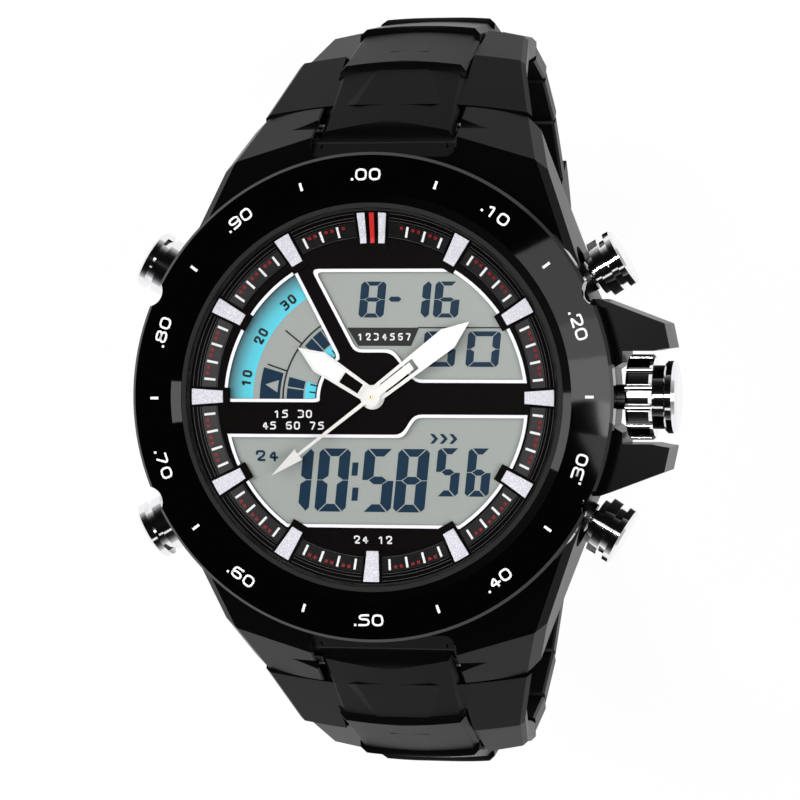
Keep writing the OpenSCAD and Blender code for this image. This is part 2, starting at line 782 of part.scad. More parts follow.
module movement_plate() {
    floor_z = holder_z - 0.1;
    color([0.85, 0.85, 0.82]) difference() {
        translate([0, 0, floor_z]) cylinder(r = cavity_r - 0.3, h = lcd_z - floor_z);
        // Pocket of the motion works under the display panel
        translate([0, 0, works_z]) cylinder(r = gear_centre + 2.9, h = 5);
        translate(battery_place + [0, 0, -1]) cylinder(r = battery_r + 0.1, h = battery_h + 1.7);
        translate(coil_place) cube([2.4, coil_l + 2.4, 2.2], center = true);
        translate([0, 0, floor_z - 1]) cylinder(r = arbor_r + run_gap, h = reach);
        // Room for the stem and the pushers' inner ends
        translate([0, 0, crown_z]) rod(2.1, stem_start - 0.5, reach);
        for (a = pusher_clocks()) at_clock(a) rod(2, cavity_r - 2.6, reach);
    }
    // Post that carries the minute wheel
    color([0.85, 0.85, 0.82]) translate([gear_centre, 0, works_z - 0.2])
        cylinder(r = 0.25, h = 1.5);
}

// Tooth outline of a small gear, with a gap at its first direction when shifted by half
module gear_shape(teeth, shift) {
    pitch_r = gear_mod * teeth / 2;
    step = 360 / teeth;
    tip = pitch_r + gear_mod * 0.85;
    root = pitch_r - gear_mod * 1.15;
    polygon([for (i = [0 : teeth - 1], q = [[-0.34, root], [-0.13, tip], [0.13, tip], [0.34, root]])
        let (a = (i + shift + q[0]) * step) q[1] * [cos(a), sin(a)]]);
}

module cannon_pinion() {
    color([0.8, 0.66, 0.3]) difference() {
        union() {
            translate([0, 0, works_z + 0.1]) linear_extrude(0.45) gear_shape(cannon_teeth, 0);
            translate([0, 0, works_z + 0.1]) cylinder(r = cannon_r, h = minute_z + hand_t - works_z);
        }
        cylinder(r = arbor_r + run_gap, h = reach);
    }
}

module minute_wheel() {
    color([0.8, 0.66, 0.3]) translate([gear_centre, 0, works_z + 0.1]) difference() {
        union() {
            linear_extrude(0.4) gear_shape(minute_teeth, 0.5);
            translate([0, 0, 0.4]) linear_extrude(0.7) gear_shape(minute_pinion_teeth, 0.5);
        }
        translate([0, 0, -1]) cylinder(r = 0.25 + run_gap, h = 5);
    }
}

module hour_wheel() {
    z0 = works_z + 0.75;
    color([0.8, 0.66, 0.3]) difference() {
        union() {
            translate([0, 0, z0]) linear_extrude(0.4) gear_shape(hour_teeth, 0);
            translate([0, 0, z0]) cylinder(r = pipe_r, h = hour_z + hand_t - z0);
        }
        cylinder(r = cannon_r + run_gap, h = reach);
    }
}

module second_arbor() {
    color([0.8, 0.66, 0.3]) translate([0, 0, works_z - 1.2])
        cylinder(r = arbor_r, h = second_z + hand_t + 0.03 - works_z + 1.2);
}

// Hands point along +Y before they are turned

// A sword hand with an open window near the hub
module sword_hand(length, broad_y, window_end, hub_bore, hub_r) {
    difference() {
        union() {
            circle(r = hub_r);
            polygon([[-0.85, 0.6], [0.85, 0.6], [1.14, broad_y], [0, length], [-1.14, broad_y]]);
        }
        polygon([[-0.55, 1.5], [0.55, 1.5], [0.62, window_end], [-0.62, window_end]]);
        circle(r = hub_bore);
    }
}

module hour_hand() {
    color(white) translate([0, 0, hour_z]) rotate(-hour_angle) linear_extrude(hand_t)
        sword_hand(hour_len, hour_len * 0.71, 3.75, pipe_r, 1.25);
}

module minute_hand() {
    color(white) translate([0, 0, minute_z]) rotate(-minute_angle) linear_extrude(hand_t)
        sword_hand(minute_len, minute_len * 0.78, 5.7, cannon_r, 1.1);
}

module second_hand() {
    color(white) translate([0, 0, second_z]) rotate(-second_angle) linear_extrude(hand_t)
        difference() {
            union() {
                circle(r = 0.95);
                polygon([[-0.2, 0], [0.2, 0], [0.14, second_len - 3], [-0.14, second_len - 3]]);
                polygon([[-0.66, second_len - 3.55], [0.66, second_len - 3.55], [0, second_len]]);
            }
            circle(r = arbor_r);
        }
}

// Crown

module crown_tube() {
    color(steel) translate([0, 0, crown_z]) difference() {
        rod(tube_r, cavity_r + 0.2, crown_start + 0.6);
        rod(stem_r + run_gap, 0, reach);
    }
}

module crown_stem() {
    color(steel) translate([0, 0, crown_z]) difference() {
        rod(stem_r, stem_start, crown_start + 1.6);
        // Groove that the setting lever rides in
        rotate([0, 90, 0]) translate([0, 0, groove_x]) difference() {
            cylinder(r = 1, h = groove_w);
            translate([0, 0, -1]) cylinder(r = 0.3, h = 3);
        }
    }
}

module setting_lever() {
    color(steel) translate([groove_x + 0.15, 0, crown_z]) difference() {
        translate([0, -0.7, -1.6]) cube([groove_w - 0.3, 1.9, 2.4]);
        translate([-1, -2, -0.36]) cube([3, 2.36, 0.72]);
        rotate([0, 90, 0]) translate([0, 0, -1]) cylinder(r = 0.36, h = 3);
    }
}

module crown() {
    neck_x = crown_start + crown_flute_l;
    cap_x = neck_x + 1.1;
    end_x = cap_x + 1.3;
    color(steel) translate([0, 0, crown_z]) difference() {
        union() {
            rotate([0, 90, 0]) rotate_extrude() polygon([[0, crown_start],
                [crown_r - 0.3, crown_start], [crown_r, crown_start + 0.3], [crown_r, neck_x - 0.3],
                [crown_r - 0.3, neck_x], [3.3, neck_x], [3.3, cap_x], [3.55, cap_x],
                [3.75, cap_x + 0.2], [3.75, end_x - 0.5], [3.45, end_x - 0.15], [2.6, end_x],
                [0, end_x]]);
        }
        for (i = [0 : crown_flutes - 1]) rotate([(i + 0.5) * 360 / crown_flutes, 0, 0])
            translate([0, 0, crown_r + 0.12]) rod(0.46, crown_start - 1, neck_x + 0.01);
        // Socket that slides over the tube
        rod(tube_r + run_gap, crown_start - 1, crown_start + 1.2);
        rod(stem_r, 0, crown_start + 1.6);
    }
}

// Pushers point along +X before they are turned

module pusher_shape() {
    cap_x = pusher_reach - 0.9;
    ring_x = cap_x - 1.9;
    skirt_x = ring_x - 0.7;
    difference() {
        union() {
            rotate([0, 90, 0]) rotate_extrude() polygon([[0, skirt_x], [skirt_r, skirt_x],
                [skirt_r, ring_x], [pusher_r - 0.1, ring_x], [pusher_r - 0.1, ring_x + 1.1],
                [pusher_r - 0.55, ring_x + 1.1], [pusher_r - 0.55, cap_x], [pusher_r, cap_x],
                [pusher_r, pusher_reach - 0.25], [pusher_r - 0.25, pusher_reach],
                [0, pusher_reach]]);
        }
        // Socket for the tube and the spring
        rod(skirt_r - 0.25, 0, ring_x + 0.9);
    }
    rod(pusher_stem_r, cavity_r - 0.4, ring_x + 1);
}

module pusher(angle) {
    color(steel) at_clock(angle) pusher_shape();
}

module pusher_tubes() {
    color(steel) for (a = pusher_clocks()) at_clock(a) difference() {
        rod(pusher_tube_r, cavity_r + 0.4, barrel_r + 0.6);
        rod(pusher_stem_r + run_gap, 0, reach);
    }
}

// The return spring, drawn as a sleeve at its pressed length, round the stem in the head
module pusher_spring(angle) {
    head_x = pusher_reach - 0.9 - 1.9 + 0.9;
    color([0.6, 0.6, 0.62]) at_clock(angle) difference() {
        rod(pusher_tube_r, barrel_r + 0.65 + pusher_travel, head_x - seat_gap);
        rod(pusher_stem_r + seat_gap, 0, reach);
    }
}

// Back, bars and screws

module case_back() {
    color(steel) difference() {
        rotate_extrude() polygon([[0, 0], [back_r - 0.5, 0], [back_r, 0.5], [back_r, back_t],
            [cavity_r - 0.1, back_t], [cavity_r - 0.1, back_t + 0.6], [0, back_t + 0.6]]);
        back_screw_places() {
            translate([0, 0, -1]) cylinder(r = 0.5 + seat_gap, h = 5);
            translate([0, 0, -1]) cylinder(r = 0.9 + seat_gap, h = 1.7);
        }
    }
}

module case_back_screws() {
    color(steel) back_screw_places() difference() {
        union() {
            translate([0, 0, 0.1]) cylinder(r = 0.9, h = 0.6);
            translate([0, 0, 0.3]) cylinder(r = 0.5, h = back_t + 1.8);
        }
        for (a = [0, 90]) rotate([0, 0, a]) cube([1.1, 0.22, 0.6], center = true);
    }
}

module case_gasket() {
    color([0.05, 0.05, 0.05]) rotate_extrude()
        translate([cavity_r + 0.4, back_t + 0.36]) circle(r = 0.34);
}

module lug_spring_bars() {
    half = centre_lug_half + 1.8;
    color(steel) both_ends() translate([0, pin_y(0), pin_z(0)]) rod(bar_r, -half, half);
}

// Clasp

// A part of a ring about the loop's centre, drawn in Y and Z
module arc_band(r0, r1, a0, a1) {
    mid = (a0 + a1) / 2;
    intersection() {
        difference() {
            circle(r = r1, $fn = 180);
            circle(r = r0, $fn = 180);
        }
        polygon([[0, 0], 2 * r1 * [cos(a1), sin(a1)], 3 * r1 * [cos(mid), sin(mid)],
            2 * r1 * [cos(a0), sin(a0)]]);
    }
}

module loop_solid(half) translate([0, 0, loop_z]) across(half) children();
module loop_sides(x0, x1) translate([0, 0, loop_z]) both_sides(x0, x1) children();
module loop_pin(angle, radius, r, x0, x1) at_loop(angle) translate([0, radius, 0]) rod(r, x0, x1);

cover_start = pin_a(upper_links) - asin((knuckle_r + wing_gap) / loop_r);
cover_end = -180 - pin_a(lower_links) + asin((knuckle_r + 2 * link_gap) / loop_r);
floor_end = cover_hinge_a + 1.2;
channel_half = clasp_half - clasp_wall;
blade_half = channel_half - 0.7;
inner_half = blade_half - 2.5;
inner_r = loop_r - link_in;
// Angle at a share of the way from the cover's hinge to the blades' hinge
function blade_part(share) = cover_hinge_a + share * (blade_hinge_a - cover_hinge_a);

module clasp_cover() {
    k = upper_links + 1;
    c0 = centre_half(k - 1);
    color(black) difference() {
        union() {
            intersection() {
                at_link(k) across(c0) nose_profile(tongue_r, tongue_round, 6);
                at_link(k) centre_row(c0, c0 - 0.01, 0, link_pitch);
            }
            difference() {
                loop_solid(clasp_half) union() {
                    arc_band(inner_r, cover_r, cover_end, cover_start - 0.01);
                }
                at_link(k) both_sides(c0, reach) circle(r = knuckle_r + wing_gap);
            }
        }
        // Channel of the blades, open at the lower end
        loop_solid(channel_half) arc_band(inner_r - 5, floor_r, cover_end - 5, cover_start - 3.6);
        loop_solid(channel_half) arc_band(inner_r - 5, cover_r + 5, cover_end - 5, floor_end);
        // Flat that the clasp rests on, and level edges beside it
        translate([-reach, -reach, loop_z - loop_r - cover_flat - reach])
            cube([2 * reach, 2 * reach, reach]);
        at_link(k) rod(pin_r + run_gap, -reach, reach);
        loop_pin(cover_hinge_a, cover_hinge_r, hinge_pin_r + seat_gap, -reach, reach);
        // Adjusting holes of the spring bar
        for (run = [11, 13.7, 16.4]) loop_pin(pin_a(upper_links) - along_loop(run), loop_r - 0.4, 0.5,
            -reach, reach);
        // Slots of the two buttons
        at_loop(button_a) translate([0, loop_r + 0.1, 0]) cube([reach, 1.7, 4.2], center = true);
    }
}

module clasp_hinge_pins() {
    color(steel) for (m = [0, 1]) mirror([m, 0, 0])
        loop_pin(cover_hinge_a, cover_hinge_r, hinge_pin_r, inner_half + 0.6, clasp_half - 0.3);
}

module clasp_outer_blade() {
    color(steel) difference() {
        union() {
            loop_solid(blade_half) arc_band(blade_a_r - blade_t, blade_a_r, floor_end, blade_hinge_a);
            loop_sides(inner_half + 0.3, blade_half) {
                arc_band(blade_a_r - blade_t, blade_a_r, cover_hinge_a, floor_end + 1);
                rotate(cover_hinge_a) translate([cover_hinge_r, 0]) circle(r = blade_knuckle);
            }
            loop_sides(blade_gap_half, inner_half)
                rotate(blade_hinge_a) translate([blade_hinge_r, 0]) circle(r = blade_knuckle);
        }
        loop_pin(cover_hinge_a, cover_hinge_r, hinge_pin_r + run_gap, -reach, reach);
        loop_pin(blade_hinge_a, blade_hinge_r, blade_knuckle + 0.15,
            0.05 - blade_gap_half, blade_gap_half - 0.05);
        loop_pin(blade_hinge_a, blade_hinge_r, hinge_pin_r + seat_gap, -reach, reach);
        // Side notches that the buttons reach into
        for (m = [0, 1]) mirror([m, 0, 0]) at_loop(button_a)
            translate([blade_half - 0.75, loop_r - 5, -2.5]) cube([5, 10, 5]);
        // Long slot that lightens the blade
        loop_solid(2.2) arc_band(inner_r - 5, cover_r, blade_part(0.2), blade_part(0.8));
    }
    color(steel) loop_pin(blade_hinge_a, blade_hinge_r, hinge_pin_r, -inner_half, inner_half);
}

module clasp_inner_blade() {
    end_a = -180 - pin_a(lower_links);
    end = loop_r * [cos(end_a), sin(end_a)];
    bend_a = cover_hinge_a - 2.2;
    bend_in = (blade_b_r - blade_t) * [cos(bend_a), sin(bend_a)];
    bend_out = blade_b_r * [cos(bend_a), sin(bend_a)];
    out = unit(end);
    color(steel) difference() {
        union() {
            loop_solid(inner_half)
                arc_band(blade_b_r - blade_t, blade_b_r, bend_a, blade_hinge_a);
            loop_solid(blade_gap_half - 0.15)
                rotate(blade_hinge_a) translate([blade_hinge_r, 0]) circle(r = blade_knuckle);
            loop_solid(inner_half) polygon([bend_in, bend_out, end + 0.4 * out, end - 0.9 * out]);
            loop_solid(centre_tail_half) translate(end) circle(r = bar_r + 0.6);
        }
        loop_sides(blade_gap_half - 0.15, reach)
            rotate(blade_hinge_a) translate([blade_hinge_r, 0]) circle(r = blade_knuckle + 0.15);
        loop_pin(blade_hinge_a, blade_hinge_r, hinge_pin_r + run_gap, -reach, reach);
        loop_pin(end_a, loop_r, bar_r + seat_gap, -reach, reach);
        loop_solid(1.6) arc_band(inner_r - 5, cover_r, blade_part(0.25), blade_part(0.75));
    }
}

// Spring bar of the lower chain with its sprung tips pressed in
module clasp_spring_bar() {
    color(steel) loop_pin(-180 - pin_a(lower_links), loop_r, bar_r,
        -centre_tail_half, centre_tail_half);
}

module clasp_button(m) {
    color(steel) mirror([m, 0, 0]) at_loop(button_a) translate([0, loop_r + 0.1, 0]) {
        translate([channel_half - 0.5, -0.75, -2]) cube([clasp_wall + 0.6 + button_travel, 1.5, 4]);
        translate([clasp_half + 0.05 + button_travel, -1.3, -2.5]) cube([1.1, 2.6, 5]);
    }
}

case_body();
bezel();
crystal();
crystal_gasket();
chapter_ring();
hour_markers();
dial();
window_frames();
lcd_panel();
movement_plate();
circuit_board();
motor_coil();
battery();
case_gasket();
case_back();
case_back_screws();
crown_tube();
pusher_tubes();
lug_spring_bars();
hour_hand();
hour_wheel();
minute_hand();
cannon_pinion();
second_hand();
second_arbor();
minute_wheel();
setting_lever();
crown();
crown_stem();
pusher(pusher_angle);  // pusher_2
pusher(180 - pusher_angle);  // pusher_4
pusher(180 + pusher_angle);  // pusher_8
pusher(360 - pusher_angle);  // pusher_10
pusher_spring(pusher_angle);  // pusher_spring_2
pusher_spring(180 - pusher_angle);  // pusher_spring_4
pusher_spring(180 + pusher_angle);  // pusher_spring_8
pusher_spring(360 - pusher_angle);  // pusher_spring_10
upper_link(1);  // upper_link_1
upper_link(2);  // upper_link_2
upper_link(3);  // upper_link_3
upper_link(4);  // upper_link_4
upper_link(5);  // upper_link_5
upper_link(6);  // upper_link_6
lower_link(1);  // lower_link_1
lower_link(2);  // lower_link_2
lower_link(3);  // lower_link_3
lower_link(4);  // lower_link_4
lower_link(5);  // lower_link_5
lower_link(6);  // lower_link_6
lower_link(7);  // lower_link_7
clasp_cover();
clasp_hinge_pins();
clasp_outer_blade();
clasp_inner_blade();
clasp_spring_bar();
clasp_button(0);  // clasp_button_3
clasp_button(1);  // clasp_button_9
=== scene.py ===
"""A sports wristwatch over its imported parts: finishes, printed marks, display digits, hands and studio.

Lengths in the classes are millimetres in the watch's own frame: the origin is the middle of the case
back, +X points to 3 o'clock, +Y to 12 o'clock and +Z the way the dial faces.
"""

from __future__ import annotations

import logging
import math
from dataclasses import dataclass, field
from enum import Enum
from typing import Callable, Dict, List, Sequence, Tuple

import bpy
import numpy as np
from mathutils import Matrix, Vector


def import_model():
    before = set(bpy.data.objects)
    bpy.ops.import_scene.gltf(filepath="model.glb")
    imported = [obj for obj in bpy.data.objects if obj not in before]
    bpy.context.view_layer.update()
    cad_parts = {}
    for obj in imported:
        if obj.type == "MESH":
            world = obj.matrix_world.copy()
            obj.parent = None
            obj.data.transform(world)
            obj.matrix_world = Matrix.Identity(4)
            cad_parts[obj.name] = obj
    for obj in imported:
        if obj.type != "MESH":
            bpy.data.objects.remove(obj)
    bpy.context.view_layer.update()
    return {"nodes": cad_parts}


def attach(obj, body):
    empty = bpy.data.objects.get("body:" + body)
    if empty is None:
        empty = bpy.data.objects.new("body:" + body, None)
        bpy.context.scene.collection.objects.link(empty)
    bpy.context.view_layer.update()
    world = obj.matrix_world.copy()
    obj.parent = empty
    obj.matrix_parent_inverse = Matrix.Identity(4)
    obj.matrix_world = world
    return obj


LOG = logging.getLogger("watch")
MM = 0.001
MINUTE, HOUR = 6.0, 30.0
Pair = Tuple[float, float]
Triple = Tuple[float, float, float]
Colour = Triple
Place = Callable[[np.ndarray], np.ndarray]


# Heights and radii of the head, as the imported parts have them


@dataclass(frozen=True)
class Head:
    """Levels and radii of the watch's head that prints and plates sit on."""

    bezel_outer: float = 24.7
    bezel_outer_z: float = 15.08
    bezel_inner: float = 20.8
    bezel_inner_z: float = 15.5
    ring_inner: float = 16.25
    ring_inner_z: float = 13.48
    ring_outer: float = 18.9
    ring_outer_z: float = 14.1
    dial_z: float = 13.4
    display_z: float = 13.1
    display_step: float = 0.004
    hour_top: float = 13.8
    minute_top: float = 14.08
    second_top: float = 14.36

    def bezel_height(self, radius: np.ndarray) -> np.ndarray:
        """Height of the bezel's sloping face at a radius: a straight line between its two edges."""
        share = (radius - self.bezel_inner) / (self.bezel_outer - self.bezel_inner)
        return self.bezel_inner_z + share * (self.bezel_outer_z - self.bezel_inner_z)

    def ring_height(self, radius: np.ndarray) -> np.ndarray:
        """Height of the minute ring's cone at a radius: a straight line between its two edges."""
        share = (radius - self.ring_inner) / (self.ring_outer - self.ring_inner)
        return self.ring_inner_z + share * (self.ring_outer_z - self.ring_inner_z)


HEAD = Head()

# The display's windows and all that it shows stand a little left of and below the axis
DISPLAY_CENTRE: Pair = (-0.38, -0.28)


# Shader node groups


def new_group(name: str, inputs: Dict[str, float], outputs: Dict[str, str]) -> bpy.types.NodeTree:
    """Makes an empty shader node group with number inputs and typed outputs.

    Args:
        name: name of the group.
        inputs: each number input and its usual value.
        outputs: each output and its socket type.

    Returns:
        The node tree, with its input and output nodes in place.
    """
    tree = bpy.data.node_groups.new(name, "ShaderNodeTree")
    for key, value in inputs.items():
        socket = tree.interface.new_socket(key, in_out="INPUT", socket_type="NodeSocketFloat")
        socket.default_value = value
    for key, kind in outputs.items():
        tree.interface.new_socket(key, in_out="OUTPUT", socket_type=kind)
    tree.nodes.new("NodeGroupInput").name = "in"
    tree.nodes.new("NodeGroupOutput").name = "out"
    return tree


def feed(node: bpy.types.Node, values: Dict[str, object]) -> None:
    """Sets inputs of a node by their names."""
    for key, value in values.items():
        node.inputs[key].default_value = value


def number_node(nodes: bpy.types.Nodes, operation: str, second: float = 0.0) -> bpy.types.Node:
    """A Math node for one operation, with its second number set."""
    node = nodes.new("ShaderNodeMath")
    node.operation = operation
    node.inputs[1].default_value = second
    return node


def noise_node(nodes: bpy.types.Nodes, scale: float, detail: float) -> bpy.types.Node:
    """A noise texture of a scale and detail."""
    noise = nodes.new("ShaderNodeTexNoise")
    feed(noise, {"Scale": scale, "Detail": detail})
    return noise


def fill_ramp(ramp: bpy.types.Node, stops: Sequence[Tuple[float, Colour]]) -> None:
    """Gives a colour ramp its stops, each a place and a colour."""
    elements = ramp.color_ramp.elements
    while len(elements) < len(stops):
        elements.new(1.0)
    for element, (place, colour) in zip(elements, stops):
        element.position = place
        element.color = (*colour, 1.0)


def wire_skin(
    tree: bpy.types.NodeTree,
    clouds: bpy.types.NodeSocket,
    grains: bpy.types.NodeSocket,
    depth: float,
) -> None:
    """Feeds a skin group's two outputs.

    The roughness is the usual one plus the spread times the clouds' distance from a half, and the normal
    comes from a bump over the grains.

    Args:
        tree: the group.
        clouds: a value from 0 to 1 that the roughness follows.
        grains: a value from 0 to 1 that the bump follows.
        depth: the bump's depth in metres.
    """
    nodes, links = tree.nodes, tree.links
    inp, out = nodes["in"], nodes["out"]
    centred = number_node(nodes, "SUBTRACT", 0.5)
    spread = number_node(nodes, "MULTIPLY_ADD")
    bump = nodes.new("ShaderNodeBump")
    feed(bump, {"Distance": depth})
    links.new(clouds, centred.inputs[0])
    links.new(centred.outputs[0], spread.inputs[0])
    links.new(inp.outputs["Spread"], spread.inputs[1])
    links.new(inp.outputs["Roughness"], spread.inputs[2])
    links.new(inp.outputs["Relief"], bump.inputs["Strength"])
    links.new(grains, bump.inputs["Height"])
    links.new(spread.outputs[0], out.inputs["Roughness"])
    links.new(bump.outputs["Normal"], out.inputs["Normal"])


class Skin(Enum):
    """Which shared effect a finish carries."""

    PLAIN = "plain"
    MOULDED = "moulded_skin"
    BRUSHED = "brushed_grain"


class Effects:
    """The shader groups that several finishes share, each built once."""

    pebbles: float = 900.0
    clouds: float = 120.0
    pebble_depth: float = 0.00002
    streaks: Triple = (90.0, 2600.0, 2600.0)
    streak_depth: float = 0.00001
    _groups: Dict[Skin, bpy.types.NodeTree] = {}

    @classmethod
    def group(cls, skin: Skin) -> bpy.types.NodeTree:
        """The group of a skin, built at its first use."""
        if skin not in cls._groups:
            tree = new_group(
                skin.value,
                {"Roughness": 0.4, "Spread": 0.08, "Relief": 0.2},
                {"Roughness": "NodeSocketFloat", "Normal": "NodeSocketVector"},
            )
            if skin is Skin.MOULDED:
                cls.moulded(tree)
            else:
                cls.brushed(tree)
            cls._groups[skin] = tree
        return cls._groups[skin]

    @classmethod
    def moulded(cls, tree: bpy.types.NodeTree) -> None:
        """Fine moulded skin: cloudy roughness and a faint pebbled normal."""
        where = tree.nodes.new("ShaderNodeTexCoord")
        fine = noise_node(tree.nodes, cls.pebbles, 2.0)
        cloud = noise_node(tree.nodes, cls.clouds, 3.0)
        tree.links.new(where.outputs["Object"], fine.inputs["Vector"])
        tree.links.new(where.outputs["Object"], cloud.inputs["Vector"])
        wire_skin(tree, cloud.outputs["Fac"], fine.outputs["Fac"], cls.pebble_depth)

    @classmethod
    def brushed(cls, tree: bpy.types.NodeTree) -> None:
        """Brushed grain: noise drawn out along X gives streaks in roughness and normal."""
        where = tree.nodes.new("ShaderNodeTexCoord")
        drawn = tree.nodes.new("ShaderNodeMapping")
        feed(drawn, {"Scale": cls.streaks})
        streak = noise_node(tree.nodes, 1.0, 2.0)
        tree.links.new(where.outputs["Object"], drawn.inputs["Vector"])
        tree.links.new(drawn.outputs["Vector"], streak.inputs["Vector"])
        wire_skin(tree, streak.outputs["Fac"], streak.outputs["Fac"], cls.streak_depth)


@dataclass(frozen=True)
class Finish:
    """One finish: colour, gloss and skin of a material, built on a Principled shader."""

    name: str
    colour: Colour
    roughness: float = 0.4
    metallic: float = 0.0
    specular: float = 0.5
    alpha: float = 1.0
    skin: Skin = Skin.PLAIN
    relief: float = 0.2

    def build(self) -> bpy.types.Material:
        """Makes the material, or returns the one already made under this name."""
        made = bpy.data.materials.get(self.name)
        if made:
            return made
        mat = bpy.data.materials.new(self.name)
        mat.use_nodes = True
        shader = mat.node_tree.nodes["Principled BSDF"]
        feed(shader, {"Base Color": (*self.colour, 1.0), "Alpha": self.alpha, "Metallic": self.metallic})
        feed(shader, {"Roughness": self.roughness, "Specular IOR Level": self.specular})
        if self.skin is not Skin.PLAIN:
            self._dress(mat, shader)
        self._paint(mat, shader)
        return mat

    def _paint(self, mat: bpy.types.Material, shader: bpy.types.Node) -> None:
        """Adds a pattern to the colour; plain finishes have none."""

    def _dress(self, mat: bpy.types.Material, shader: bpy.types.Node) -> None:
        """Feeds the shader's roughness and normal from the skin's group."""
        group = mat.node_tree.nodes.new("ShaderNodeGroup")
        group.node_tree = Effects.group(self.skin)
        feed(group, {"Roughness": self.roughness, "Relief": self.relief})
        mat.node_tree.links.new(group.outputs["Roughness"], shader.inputs["Roughness"])
        mat.node_tree.links.new(group.outputs["Normal"], shader.inputs["Normal"])


@dataclass(frozen=True)
class RadialPaintedLight(Finish):
    """A finish whose colour changes with the distance from a place in the dial's plane, used to paint light
    and shade: the fan's painted frame shadow and the minute track's painted sheen.
    """

    centre: Pair = (0.0, 0.0)
    weights: Pair = (1.0, 1.0)
    near: float = 12.3
    far: float = 15.2
    stops: Tuple[Tuple[float, Colour], ...] = ()

    def _paint(self, mat: bpy.types.Material, shader: bpy.types.Node) -> None:
        """Colour, with its painted light and shade, from a ramp over the distance.

        The place less the centre has its height left out. A weight of 0 leaves an axis out as well, and
        the colour then changes along the other one alone.
        """
        nodes, links = mat.node_tree.nodes, mat.node_tree.links
        where = nodes.new("ShaderNodeTexCoord")
        flat = nodes.new("ShaderNodeVectorMath")
        flat.operation = "MULTIPLY_ADD"
        flat.inputs[1].default_value = (*self.weights, 0.0)
        flat.inputs[2].default_value = (-self.centre[0] * MM, -self.centre[1] * MM, 0.0)
        length = nodes.new("ShaderNodeVectorMath")
        length.operation = "LENGTH"
        share = nodes.new("ShaderNodeMapRange")
        feed(share, {"From Min": self.near * MM, "From Max": self.far * MM})
        ramp = nodes.new("ShaderNodeValToRGB")
        fill_ramp(ramp, self.stops)
        links.new(where.outputs["Object"], flat.inputs[0])
        links.new(flat.outputs["Vector"], length.inputs[0])
        links.new(length.outputs["Value"], share.inputs["Value"])
        links.new(share.outputs["Result"], ramp.inputs["Fac"])
        links.new(ramp.outputs["Color"], shader.inputs["Base Color"])


@dataclass(frozen=True)
class MarkerFinish(Finish):
    """Silver with bright grains mixed into the colour as painted glints, with the middle bar at 12 o'clock
    in another colour.
    """

    painted_glint: Colour = (0.9, 0.9, 0.95)
    middle: Colour = (0.5, 0.02, 0.02)
    middle_half: float = 0.32
    grain: float = 9000.0
    grain_low: float = 0.5
    grain_high: float = 0.75

    def _paint(self, mat: bpy.types.Material, shader: bpy.types.Node) -> None:
        """Mixes bright grains into the colour as painted glints, then the middle's where |x| is small and y
        is over 0.
        """
        nodes, links = mat.node_tree.nodes, mat.node_tree.links
        where = nodes.new("ShaderNodeTexCoord")
        # Noise grains that choose where the painted glints go
        grains = noise_node(nodes, self.grain, 1.0)
        chosen = nodes.new("ShaderNodeMapRange")
        feed(chosen, {"From Min": self.grain_low, "From Max": self.grain_high})
        glinted = nodes.new("ShaderNodeMix")
        glinted.data_type = "RGBA"
        feed(glinted, {"A": (*self.colour, 1.0), "B": (*self.painted_glint, 1.0)})
        split = nodes.new("ShaderNodeSeparateXYZ")
        aside = number_node(nodes, "ABSOLUTE")
        slim = number_node(nodes, "LESS_THAN", self.middle_half * MM)
        upper = number_node(nodes, "GREATER_THAN")
        both = number_node(nodes, "MULTIPLY")
        final = nodes.new("ShaderNodeMix")
        final.data_type = "RGBA"
        feed(final, {"B": (*self.middle, 1.0)})
        links.new(where.outputs["Object"], grains.inputs["Vector"])
        links.new(grains.outputs["Fac"], chosen.inputs["Value"])
        links.new(chosen.outputs["Result"], glinted.inputs["Factor"])
        links.new(where.outputs["Object"], split.inputs["Vector"])
        links.new(split.outputs["X"], aside.inputs[0])
        links.new(aside.outputs[0], slim.inputs[0])
        links.new(split.outputs["Y"], upper.inputs[0])
        links.new(slim.outputs[0], both.inputs[0])
        links.new(upper.outputs[0], both.inputs[1])
        links.new(both.outputs[0], final.inputs["Factor"])
        links.new(glinted.outputs["Result"], final.inputs["A"])
        links.new(final.outputs["Result"], shader.inputs["Base Color"])


CASE_BLACK = Finish(
    "case_satin_black", (0.0012, 0.0012, 0.0013), 0.3, specular=0.07, skin=Skin.MOULDED, relief=0.06
)
LINK_BLACK = Finish(
    "bracelet_satin_black", (0.0016, 0.0016, 0.0017), 0.34, specular=0.05, skin=Skin.MOULDED, relief=0.08
)
BEZEL_BLACK = Finish("bezel_gloss_black", (0.0006, 0.0006, 0.0007), 0.03, specular=0.6)
DIAL_BLACK = Finish(
    "dial_matt_black", (0.0022, 0.0015, 0.0014), 0.4, specular=0.05, skin=Skin.MOULDED, relief=0.05
)
CHROME = Finish("polished_chrome", (0.86, 0.86, 0.88), 0.07, metallic=1.0)
STEEL = Finish("brushed_steel", (0.66, 0.66, 0.68), 0.28, metallic=1.0, skin=Skin.BRUSHED)
BRASS = Finish("wheel_brass", (0.78, 0.56, 0.22), 0.25, metallic=1.0)
COPPER = Finish("coil_copper", (0.75, 0.3, 0.15), 0.35, metallic=1.0)
HOLDER = Finish("holder_white", (0.72, 0.71, 0.66), 0.45, skin=Skin.MOULDED)
BOARD = Finish("board_lacquer", (0.02, 0.14, 0.05), 0.3)
RUBBER = Finish("gasket_rubber", (0.012, 0.012, 0.012), 0.7, skin=Skin.MOULDED)
DISPLAY = Finish("display_grey", (0.285, 0.31, 0.29), 0.35)
FRAME_WHITE = Finish("frame_white", (0.8, 0.79, 0.86), 0.3)
